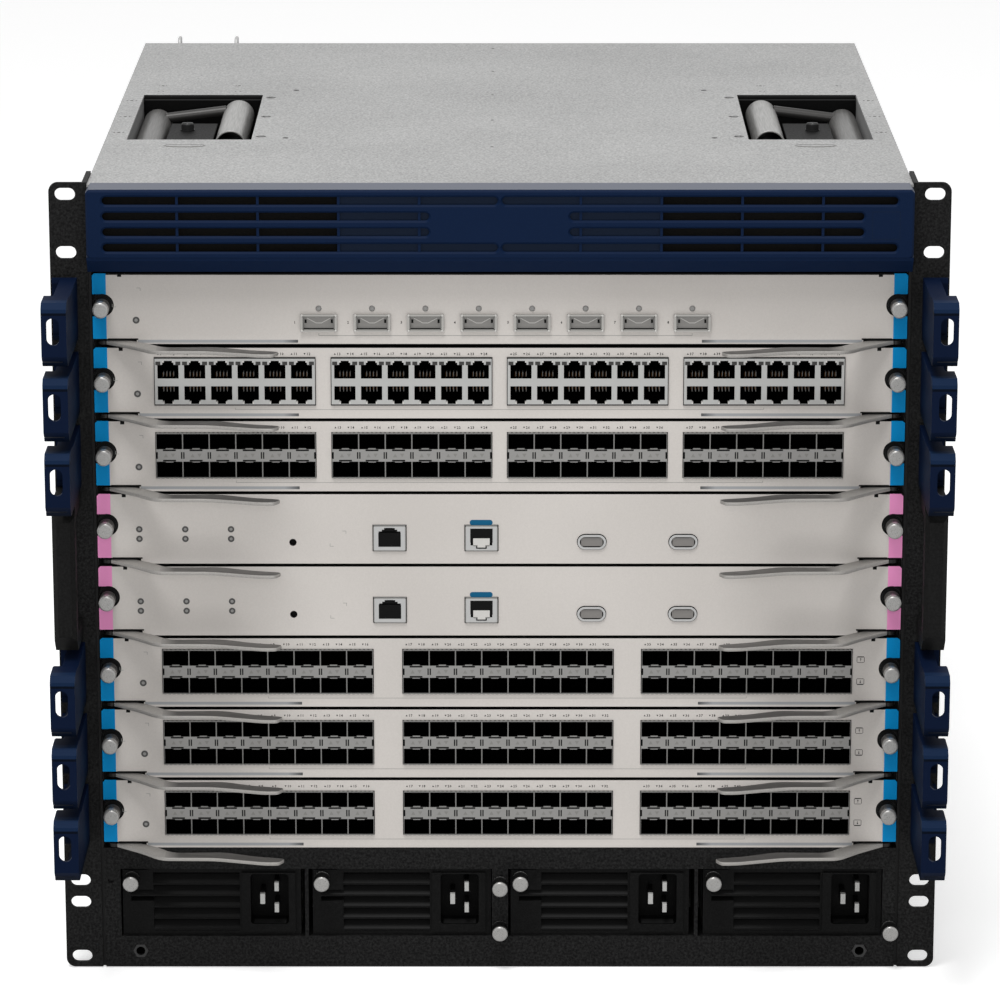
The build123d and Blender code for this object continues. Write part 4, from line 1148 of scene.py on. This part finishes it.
# %% [markdown]
# ## Jacks
# Card 2 has blocks of modular jacks. The metal shield shows a dark seam along the top, the bottom and
# the sides. In each pair of mouths, one over the other, are two small steps above and two below, a
# light-pipe window in each upper corner, and two rows of four contact wires that bend out of the dark.
# They are a few pixels each, so boxes at the right place and tone do for them.

# %% Jack details
def contact_wires(bm, x, z, sign, front):
    """Four thin wires, bent towards the mouth."""
    for wire in range(4):
        wx = x - 2.78 + 1.85 * wire
        box(bm, (wx - 0.17, wx + 0.17), (front, front + 4.0), (z, z + sign * 2.6))


def jack_column(windows, steps, silver, gold, x, top):
    """What is seen in the upper and lower mouth of one column."""
    for side in (-1, 1):
        corner = (x + side * 5.4 - 1.35, x + side * 5.4 + 1.35)
        box(windows, corner, (PORT_FRONT - 0.03, PORT_FRONT + 2.0), (top - 9.6, top - 7.6))
        for step in ((top - 7.0, top - 8.2), (top - 31.3, top - 30.1)):
            box(steps, (x + side * 3.0, x + side * 2.2), (PORT_FRONT + 0.02, PORT_FRONT + 3), step)
    for sign, front_row, back_row in ((1, top - 16.6, top - 17.5), (-1, top - 22.4, top - 21.5)):
        contact_wires(silver, x + 0.1, front_row, sign, PORT_FRONT + 3.4)
        contact_wires(gold, x - 0.3, back_row, sign, PORT_FRONT + 4.4)


def jack_details(card):
    top = card_top(card)
    seams, windows, silver, gold, steps = [bmesh.new() for _ in range(5)]
    skin = (PORT_FRONT - 0.03, FACE + 0.2)
    for left, count in port_groups(card):
        right = left + count * PORT_PITCH
        for z in (top - JACK_TOP, top - BLOCK_FOOT):
            box(seams, (left - 0.4, right + 0.4), skin, (z - 0.32, z + 0.32))
        for x in (left - 0.2, right + 0.2):
            box(seams, (x - 0.2, x + 0.2), skin, (top - BLOCK_FOOT, top - JACK_TOP))
        for column in range(count):
            jack_column(windows, steps, silver, gold, left + (column + 0.5) * PORT_PITCH, top)
    card_piece(card, "jack_seams", seams, RUBBER)
    card_piece(card, "jack_windows", windows, plain("light pipe", "#3d3c3b", 0.3))
    card_piece(card, "jack_steps", steps, LATCH)
    card_piece(card, "silver_contacts", silver, SILVER)
    card_piece(card, "gold_contacts", gold, GOLD)


jack_details(2)
print("jack details are in place")


# %% [markdown]
# ## Wide cages
# Card 1's eight wide cages each hold a grey dust plug with a shallow V pressed in it, inside a collar with
# a fine seam round it and a bright round dome at each corner as a painted highlight. One function places one
# cage's parts, and a loop calls it.

# %% Wide cages
def wide_cage(plugs, lines, dark, seams, shine, x, z):
    """One cage about x, z: plug, pressed V, holes, gaps, the collar's seam and painted highlights on its
    corners.
    """
    box(plugs, (x - 8.1, x + 8.1), (FACE + 0.6, FACE + 4.0), (z - 3.3, z + 3.3))
    for sign in (-1, 1):
        box(dark, (x + sign * 6.5, x + sign * 7.6), (FACE + 0.55, FACE + 1.0), (z - 0.3, z + 1.7))
        groove = [(0, -0.45), (1.5, -0.45), (6.3, 2.2), (6.3, 2.6), (1.4, -0.05), (0, -0.05)]
        flat_plate(lines, [(x + sign * px, FACE + 0.5, z + pz) for px, pz in groove], (0, 0.2, 0))
    corner = [(0.75, FACE - 1.5), (0.5, FACE - 1.95), (0, FACE - 2.05)]
    for end in (-1, 1):
        box(seams, (x + end * 8.15, x + end * 8.75), (FACE - 1.63, FACE - 1.5), (z - 3.9, z + 3.9))
        box(seams, (x - 8.75, x + 8.75), (FACE - 1.63, FACE - 1.5), (z + end * 3.35, z + end * 3.9))
        for up in (-1, 1):
            # Pale domes at the collar's corners: painted highlights.
            turned(shine, corner, x + end * 9.0, z + up * 4.2, 10)
    for gap in ((z + 2.9, z + 3.45), (z - 3.1, z - 3.45)):
        box(dark, (x - 8.15, x + 8.15), (FACE + 0.3, FACE + 1.0), gap)


def wide_cage_details(card):
    plugs, lines, dark, seams, shine = [bmesh.new() for _ in range(5)]
    for x in WIDE_PORTS:
        wide_cage(plugs, lines, dark, seams, shine, x, card_top(card) - 27.1)
    card_piece(card, "dust_plugs", plugs, plain("dust plug", "#8d8b88", 0.5, 0.1, "bright_steel"))
    card_piece(card, "collar_seams", seams, SHADOW_GREY)
    card_piece(card, "collar_corner_highlights", shine, LATCH, smooth=60)
    card_piece(card, "plug_lines", lines, LATCH)
    card_piece(card, "plug_holes", dark, BLACK)


wide_cage_details(1)
print("wide cages:", len(WIDE_PORTS))

# %% [markdown]
# ## Service ports
# The supervisor cards have two jacks, one with an open mouth and one with a pale latch, two small rounded
# ports with a grey tongue, a short blue mark and a recessed button hole. Each jack is a few boxes drawn
# about its middle, so both cards get theirs from the same few numbers.

# %% Service ports
JACK_WIDE = 17.8
SUPERVISOR_JACKS = (-69.0, -19.0)
SUPERVISOR_PORTS = (42.2, 92.0)
PORT_WIDE = 15.5


def jack_frame(frames, x, z):
    """A thin line round a jack."""
    skin, line = (PORT_FRONT - 0.03, PORT_FRONT + 0.3), 0.45
    box(frames, x, skin, (z[1] - line, z[1]))
    box(frames, x, skin, (z[0], z[0] + line))
    for end, way in ((x[0], 1), (x[1], -1)):
        box(frames, (end, end + way * line), skin, z)


def centred(bm, middle, rows, depth):
    """Boxes about one middle, from (half width, top, foot) of each."""
    for half, high, low in rows:
        box(bm, (middle - half, middle + half), depth, (low, high))


def service_details(card):
    top = card_top(card)
    frames, dark, pale, tongues, pill, hole = [bmesh.new() for _ in range(6)]
    for left in SUPERVISOR_JACKS:
        jack_frame(frames, (left, left + JACK_WIDE), (top - 32.0, top - 17.7))
    first, second = [left + JACK_WIDE / 2 for left in SUPERVISOR_JACKS]
    rows = ((4.2, top - 19.9, top - 20.9), (6.1, top - 21.6, top - 29.6), (1.8, top - 18.9, top - 19.9))
    centred(dark, first, rows, (PORT_FRONT - 0.02, PORT_FRONT + 3))
    centred(dark, second, [(6.1, top - 19.3, top - 27.2)], (PORT_FRONT - 0.02, PORT_FRONT + 0.4))
    rows = ((4.5, top - 24.8, top - 28.6), (2.2, top - 28.6, top - 29.9))
    centred(pale, second, rows, (PORT_FRONT - 0.35, PORT_FRONT + 0.4))
    for sign in (-1, 1):
        foot = (second + sign * 2.4, second + sign * 4.4)
        box(frames, foot, (PORT_FRONT - 0.03, PORT_FRONT + 0.3), (top - 29.3, top - 28.7))
    for left in SUPERVISOR_PORTS:
        rows = [(5.9, top - 24.6, top - 29.4)]
        centred(tongues, left + PORT_WIDE / 2, rows, (PORT_FRONT + 0.6, PORT_FRONT + 4))
    points = [(px, FACE - 0.03, pz) for px, pz in rounded((-16.5, -4.0), (top - 17.6, top - 14.6), 1.45, 4)]
    flat_plate(pill, points, (0, 0.1, 0))
    turned(hole, [(2.0, FACE - 0.02), (2.0, FACE + 2.2), (0, FACE + 2.2)], -112.7, top - 27.3, 20)
    card_piece(card, "jack_frames", frames, SHADOW_GREY)
    card_piece(card, "jack_mouths", dark, BLACK)
    card_piece(card, "jack_latch", pale, LATCH)
    card_piece(card, "port_tongues", tongues, plain("port tongue", "#7d7a77", 0.5, 0.0, "bright_steel"))
    card_piece(card, "blue_label", pill, BLUE_INK)
    card_piece(card, "recess", hole, BLACK, smooth=40)


for card in SUPERVISORS:
    service_details(card)
print("service ports are in place")

# %% [markdown]
# ## Prints
# The cards carry plain port numbers, with an arrow for the row that each belongs to, and a few thin
# lines. An image would blur when looked at closely. Each digit is made once from Blender's own font, as
# a thin solid, and stamped at every place where it is needed.

# %% Digits
def digit_mesh(sign, size):
    """One digit, lying flat, as a mesh to be stamped."""
    text = bpy.data.curves.new("digit", "FONT")
    text.body = sign
    text.size = size
    text.resolution_u = 1
    text.offset = 0.045
    text.extrude = 0.02
    holder = bpy.data.objects.new("digit", text)
    mesh = bpy.data.meshes.new_from_object(holder)
    bpy.data.objects.remove(holder)
    bpy.data.curves.remove(text)
    return mesh


DIGITS = {sign: digit_mesh(sign, 1.95) for sign in "0123456789"}
DIGIT_STEP = 1.15
PRINT = (FACE - 0.03, FACE + 0.05)  # from just in front of the paint into it


def print_number(bm, number, x, z):
    """A number that starts at x, with its foot at z."""
    for index, sign in enumerate(str(number)):
        stamp(bm, DIGITS[sign], Matrix.Translation((x + index * DIGIT_STEP, FACE - 0.02, z)) @ STAND)


def arrow(bm, x, z, up, size=0.55):
    """A small triangle that points up or down."""
    way = 1 if up else -1
    points = [(x - size, z - way * size * 0.8), (x + size, z - way * size * 0.8), (x, z + way * size * 0.9)]
    flat_plate(bm, [(px, FACE - 0.03, pz) for px, pz in points], (0, 0.06, 0))


def row_line(lines, x, z, thin, tall):
    """A line under a row of ports, turned up at both ends."""
    box(lines, x, PRINT, (z - thin, z + thin))
    for end in x:
        box(lines, (end - thin, end + thin), PRINT, (z, z + tall))


def boxed_arrow(bm, x, z, way):
    """A small arrow in a frame with one heavy side."""
    half, tall, line = 2.0, 1.6, 0.14
    for sign in (-1, 1):
        heavy = 0.28 if sign == way else line
        box(bm, (x + sign * half - line, x + sign * half + line), PRINT, (z - tall + 0.2, z + tall - 0.2))
        box(bm, (x - half + 0.2, x + half - 0.2), PRINT, (z + sign * tall - heavy, z + sign * tall + heavy))
    box(bm, (x - 0.14, x + 0.14), PRINT, (z - 0.8, z + 0.8))
    arrow(bm, x, z + way * 0.6, way > 0, 0.5)


def port_numbers(ink, card):
    """A pair of numbers over each column: the upper port's and the lower port's."""
    foot = card_top(card) - (4.2 if card == 2 else 4.3)
    number = 1
    for left, count in port_groups(card):
        for column in range(count):
            for half, up in ((0.0, True), (7.0, False)):
                x = left + column * PORT_PITCH + 1.9 + half
                arrow(ink, x, foot + 0.65, up)
                print_number(ink, number, x + 1.0, foot)
                number += 1


def card_prints(card):
    top = card_top(card)
    ink, lines = bmesh.new(), bmesh.new()
    port_numbers(ink, card)
    groups = port_groups(card)
    if groups:
        ends = [left + count / 2 * PORT_PITCH for left, count in (groups[0], groups[-1])]
        row_line(lines, ends, top - 34.4, 0.12, 1.0)
    if card == 1:
        row_line(lines, (WIDE_PORTS[0], WIDE_PORTS[-1]), top - 34.2, 0.15, 1.2)
        for port, x in enumerate(WIDE_PORTS):
            print_number(ink, port + 1, x - 13.4, top - 27.6)
    if card > max(SUPERVISORS):
        for z, way in ((top - 12.4, 1), (top - 24.9, -1)):
            boxed_arrow(ink, 197.6, z, way)
    corners = ((-193.2, 8.0, 1), (-208.3, 18.4, -1))
    if card in SUPERVISORS:
        corners = ((-83.8, 20.9, 1), (-92.5, 29.5, -1))
    for x, drop, way in corners:
        z = top - drop
        box(lines, (x - 0.13, x + 0.13), PRINT, (z, z - way * 1.6))
        box(lines, (x, x - way * 2.0), PRINT, (z - 0.13, z + 0.13))
    if card not in SUPERVISORS:
        card_piece(card, "numbers", ink, INK, merge=0)
    card_piece(card, "lines", lines, PALE_INK)


for card in CARDS:
    card_prints(card)
print("prints are in place")

# %% [markdown]
# ## Pockets in the roof
# Each lifting handle lies in a pocket. Its floor carries a shelf with a screw, and its outer wall shows
# right below the edge of the roof's opening. The CAD pocket is a plain trough, so these go inside it.

# %% Roof pockets
def pocket_walls():
    """Outer wall of each pocket, right below the edge of the roof's opening; its light grey is painted light
    on the black coat.
    """
    bm = bmesh.new()
    for side in (-1, 1):
        box(bm, (side * 209.3, side * 209.9), (-96.2, 43.7), (ROOF - 30.0, ROOF - 1.6))
    return bm


def pocket_shelves():
    """A shelf in each pocket between the handle's tubes."""
    bm = bmesh.new()
    plan = ((163.8, -48.0), (190.6, -48.0), (190.6, 6.0), (163.8, 6.0))
    for side in (-1, 1):
        flat_plate(bm, [(side * x, y, 431.6) for x, y in plan], (0, 0, 1.4), edge=0.3)
    return bm


def pocket_screws():
    """A slotted screw on each shelf: a low head with a groove and a washer."""
    bm = bmesh.new()
    for x, y in ((-180.0, -15.0), (180.0, -15.0)):
        rod(bm, (x, y, 433.3), 4.2, 0.6, "Z", 24)
        rod(bm, (x, y, 435.1), 3.7, 3.0, "Z", 24)
        rod(bm, (x, y, 436.8), 3.7, 0.5, "Z", 24, 3.3)
        for end in (-1, 1):
            box(bm, (x + end * 0.4, x + end * 2.9), (y - 1.4, y + 1.4), (437.0, 437.3))
    return bm


# The wall's light grey is painted light.
WALL = plain("pocket wall", "#8a8a8a", 0.6, 0.0, "black_powder_coat")
SHELF = powder_finish("shelf coat", "#080808", "#1d1d1d")
make_piece("roof_pocket_walls", pocket_walls(), WALL, "chassis")
make_piece("roof_pocket_shelves", pocket_shelves(), SHELF, "chassis")
make_piece("roof_pocket_screws", pocket_screws(), plain("black screw", "#232323", 0.35), "chassis", smooth=35)
print("pockets have their walls, shelves and screws")

# %% [markdown]
# ## Lifting handles
# A handle swings up on a hinge pin: a barrel round the pin, two round arms, and a tube to hold. The tubes
# have ends that can be looked into, so their profiles are closed rings spun round the axis. The arms
# rise a little towards the barrel, so each is made level at the middle, turned and then moved.

# %% Lifting handles
HINGE = (200.5, 427.5)


def lift_handle(side):
    """A barrel round the hinge pin, a tube to hold, and a round arm near each end."""
    bm = bmesh.new()
    barrel = [(4.4, -72.9), (8.2, -72.9), (8.5, -72.6), (8.5, 35.8), (8.2, 36.1), (4.4, 36.1)]
    turned(bm, barrel, side * HINGE[0], HINGE[1], 36, closed=True)
    grip = [(8.1, -60.9), (8.8, -60.9), (9.0, -60.7), (9.0, 35.9), (8.8, 36.1), (8.1, 36.1)]
    turned(bm, grip, side * GRIP[0], GRIP[1], 36, closed=True)
    turn = Matrix.Rotation(side * math.atan2(4.5, 36.0), 3, "Y")
    for y, z in zip(ARMS, (429.4, 434.4)):
        arm = rod(bm, (0, 0, 0), 3.0, 35.0, "X", 20)
        bmesh.ops.rotate(bm, verts=arm, cent=(0, 0, 0), matrix=turn)
        bmesh.ops.translate(bm, verts=arm, vec=(side * 177.2, y, z))
    return bm


for word, side in (("left", -1), ("right", 1)):
    node = word + "_lift_handle"
    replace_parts(make_piece(node + "_tubes", lift_handle(side), TUBE, node, smooth=40), node)
print("lifting handles: 2")

# %% [markdown]
# ## Marks on the roof
# The top sheet has the marks of its making: rivets, small holes, and a half-moon lanced beside each
# pocket. They are a millimetre or so across. Thin dark discs and slits do for them at that size.

# %% Roof marks
def roof_marks():
    bm = bmesh.new()
    dots = [(-4.4, y + FACE, 0.9) for y in (109, 190, 271, 350, 432)]
    for side in (-1, 1):
        dots += [(side * 120.3, y + FACE, 1.7) for y in (135.5, 286)]
        for y in (152, 201, 252):
            dots += [(side * (215 + shift), y + FACE, 0.6 if shift else 0.95) for shift in (-2.6, 0, 2.6)]
        for x in (200.0, 154.6):
            dots += [(side * (x + shift), 74.1, 0.45 if shift else 0.9) for shift in (-2.0, 0, 2.0)]
            dots += [(side * (x + shift), 55.4, 0.5) for shift in (-1.4, 1.4)]
    for x, y, radius in dots:
        rod(bm, (x, y, ROOF + 0.01), radius, 0.06, "Z", 12)
    return bm


def oval(x, y, wide, deep, degrees):
    """Points of an oval about x, y at the given angles."""
    turns = [math.radians(a) for a in degrees]
    return [(x + wide * math.cos(a), y + deep * math.sin(a)) for a in turns]


def half_moons():
    """A lanced half-moon in front of each pocket: a straight cut and a bowed one."""
    bm = bmesh.new()
    for side in (-1, 1):
        middle = side * 175.5
        box(bm, (middle - 10.6, middle + 10.6), (-112.2, -111.3), (ROOF - 0.05, ROOF + 0.04))
        outer = oval(middle, -114.4, 11.8, 5.0, range(180, 361, 15))
        inner = oval(middle, -113.8, 10.6, 3.4, range(360, 179, -15))
        flat_plate(bm, [(x, y, ROOF - 0.01) for x, y in outer + inner], (0, 0, 0.05))
    return bm


PUNCHED = plain("punched mark", "#3c3c39", 0.6, 0.0, "zinc_sheet")
LANCED = plain("lanced mark", "#5d5d59", 0.5, 0.2, "zinc_sheet")
make_piece("roof_marks", roof_marks(), PUNCHED, "chassis")
make_piece("roof_half_moons", half_moons(), LANCED, "chassis")
print("roof marks are in place")

# %% [markdown]
# ## Pull bows of the rear modules
# The two narrow modules at the back are pulled out by thin bows, and the bows' pointed tops show over the
# roof's back edge. Each is a flat bent strip: four corners, rounded and thickened. It rides on its
# module, so that it goes along when the module slides out.

# %% Pull bows of the two narrow modules
def bow_cap(x):
    """The pointed top of a bow, which shows above the roof's back edge."""
    bm = bmesh.new()
    corners = [(x - 1.1, y, z) for y, z in ((236.0, 428.0), (252.6, 428.0), (252.6, 443.2), (243.0, 443.2))]
    flat_plate(bm, corners, (2.2, 0, 0), corner=2.2, edge=0.8)
    return bm


for index, x in ((1, -200.9), (2, -165.4)):
    make_piece("module_%d_bow_cap" % index, bow_cap(x), MODULE, "fabric_module_%d" % index, smooth=40)
print("bow caps: 2")

# %% [markdown]
# ## Fan guards and rear screws
# The back isn't in the photograph. It has what such a chassis has: a wire guard over each fan, and
# screws that hold the modules. A guard is rings of round wire on four spokes: a small circle spun round
# the fan's axis makes a ring, with few sides to it, because there are many rings.

# %% Fan guards
FAN_BAY = (-142.0, 215.0)
REAR_BAY = (16.0, 436.0)


def fan_centres(row):
    """Middles of the two fans in the lower (0) or the upper (1) tray."""
    middle = (REAR_BAY[0] + REAR_BAY[1]) / 2
    bottom, top = [(REAR_BAY[0], middle - 1), (middle + 1, REAR_BAY[1])][row]
    quarter = (FAN_BAY[1] - FAN_BAY[0]) / 4
    centre = (FAN_BAY[0] + FAN_BAY[1]) / 2
    return [(centre + side * quarter, (bottom + top) / 2) for side in (-1, 1)]


def hoop(bm, x, z, radius, wire, y, sides=48):
    """A round wire bent into a ring about an axis along Y."""
    turned(bm, oval(radius, y, wire, wire, range(0, 360, 60)), x, z, sides, closed=True)


def fan_guard(row):
    """Six rings, four spokes and four screws over each of a tray's two fans."""
    bm = bmesh.new()
    y = CASE_BACK + 3.4
    for x, z in fan_centres(row):
        for radius in (18, 30, 42, 54, 66, 78):
            hoop(bm, x, z, radius, 0.9, y + 1.2)
        for turn in range(4):
            spoke = bmesh.new()
            rod(spoke, (47, 0, 0), 1.1, 66, "X", 8)
            rod(spoke, (80, 0, 0), 3.2, 2.6, "Y", 16)
            add(bm, spoke, Matrix.Translation((x, y, z)) @ Matrix.Rotation(math.radians(90 * turn), 4, "Y"))
    return bm


for row, name in enumerate(("lower", "upper")):
    make_piece(name + "_fan_guards", fan_guard(row), BRIGHT, name + "_fan_tray", smooth=40)


def rear_screws():
    bm = bmesh.new()
    for x in (-216.0, 217.2):
        for z in range(40, 430, 63):
            rod(bm, (x, CASE_BACK + 0.7, z), 2.6, 1.5, "Y", 16, 2.2)
    return bm


make_piece("rear_frame_screws", rear_screws(), BRIGHT, "chassis", smooth=40)
print("the rear is in place")

# %% [markdown]
# ## Inside, when a card is drawn out
# A card that slides out shows its board. Heat sinks and chips stand on it, low enough to clear the card
# above. Boxes are enough: the fins of a sink are the only thing on it that catches the eye.

# %% Board parts
SINKS = ((-110, -60), (0, -20), (110, -60))
CHIPS = [(side * x, y, w, d) for side in (-1, 1)
         for x, y, w, d in ((165, -120, 14, 14), (60, -130, 22, 22), (150, 30, 18, 10), (60, 60, 30, 12))]


def board_parts(card):
    deck = card_top(card) - 32.5
    sinks, chips = bmesh.new(), bmesh.new()
    for x, y in SINKS:
        box(sinks, (x - 30, x + 30), (y - 30, y + 30), (deck, deck + 4))
        for fin in range(12):
            fx = x - 28.2 + fin * 5.1
            box(sinks, (fx - 0.7, fx + 0.7), (y - 30, y + 30), (deck + 4, deck + 18))
    for x, y, w, d in CHIPS:
        box(chips, (x - w / 2, x + w / 2), (y - d / 2, y + d / 2), (deck, deck + 2.2))
    card_piece(card, "heat_sinks", sinks, SINK)
    card_piece(card, "chips", chips, CHIP)


for card in CARDS:
    board_parts(card)
print("boards have their parts")

# %% [markdown]
# ## Studio
# The photograph has a white ground and soft light from above and in front. A pale floor, a bright sky
# for reflections and two large soft lamps give that at a plain level.

# %% Floor, light and camera
def make_floor():
    """A large pale floor, a little below the case. The camera sees it brighter than the lamps make it."""
    bm = bmesh.new()
    bmesh.ops.create_grid(bm, x_segments=1, y_segments=1, size=6.0)
    mesh = bpy.data.meshes.new("floor")
    bm.to_mesh(mesh)
    bm.free()
    floor = bpy.data.objects.new("floor", mesh)
    bpy.context.scene.collection.objects.link(floor)
    floor.location.z = -0.0005
    look = Finish("studio floor", "#f4f4f4", 0.9)
    glow = look.node("ShaderNodeEmission", {}, {"Color": (1, 1, 1, 1), "Strength": 0.45})
    path = look.tree.nodes.new("ShaderNodeLightPath")
    camera_ray = Socket(look.tree, path.outputs["Is Camera Ray"])
    shown = look.node("ShaderNodeMixShader", {}, {0: camera_ray * 0.999})
    out = look.tree.nodes["Material Output"]
    mixer = shown.output.node
    both = look.tree.nodes.new("ShaderNodeAddShader")
    look.tree.links.new(look.shader.outputs[0], both.inputs[0])
    look.tree.links.new(glow.output, both.inputs[1])
    look.tree.links.new(look.shader.outputs[0], mixer.inputs[1])
    look.tree.links.new(both.outputs[0], mixer.inputs[2])
    look.tree.links.new(mixer.outputs[0], out.inputs["Surface"])
    mesh.materials.append(look.material)


def make_sky():
    """White where the camera or a reflection sees it, and dimmer as a light."""
    world = bpy.data.worlds.new("studio")
    bpy.context.scene.world = world
    world.use_nodes = True
    tree = world.node_tree
    back = tree.nodes["Background"]
    path = tree.nodes.new("ShaderNodeLightPath")
    rays = ("Is Camera Ray", "Is Glossy Ray", "Is Transmission Ray")
    seen = any_of([Socket(tree, path.outputs[name]) for name in rays])
    connect(tree, back.inputs["Color"], (1, 1, 1, 1))
    connect(tree, back.inputs["Strength"], seen * 0.58 + 0.42)


def soft_lamp(name, place, target, size, power):
    """A round lamp at place that shines on target."""
    lamp = bpy.data.lights.new(name, "AREA")
    lamp.shape = "DISK"
    lamp.size = size
    lamp.energy = power
    item = bpy.data.objects.new(name, lamp)
    bpy.context.scene.collection.objects.link(item)
    item.location = place
    item.rotation_euler = (Vector(target) - Vector(place)).to_track_quat("-Z", "Y").to_euler()


def make_camera():
    """A long lens at the photograph's angle, looking down on the front."""
    lens_data = bpy.data.cameras.new("camera")
    lens_data.sensor_width = 36.0
    lens_data.lens = 175.4
    camera = bpy.data.objects.new("camera", lens_data)
    bpy.context.scene.collection.objects.link(camera)
    camera.location = (0.0, -2.783, 0.953)
    camera.rotation_euler = (math.radians(90 - 14.98), 0, 0)
    bpy.context.scene.camera = camera


make_floor()
make_sky()
soft_lamp("key lamp", (-0.4, -1.3, 3.2), (0, 0, 0.3), 1.4, 70)
soft_lamp("front lamp", (0, -3.0, 1.0), (0, 0, 0.2), 1.0, 14)
make_camera()
bpy.context.scene.view_settings.view_transform = "Standard"
print("studio is set")
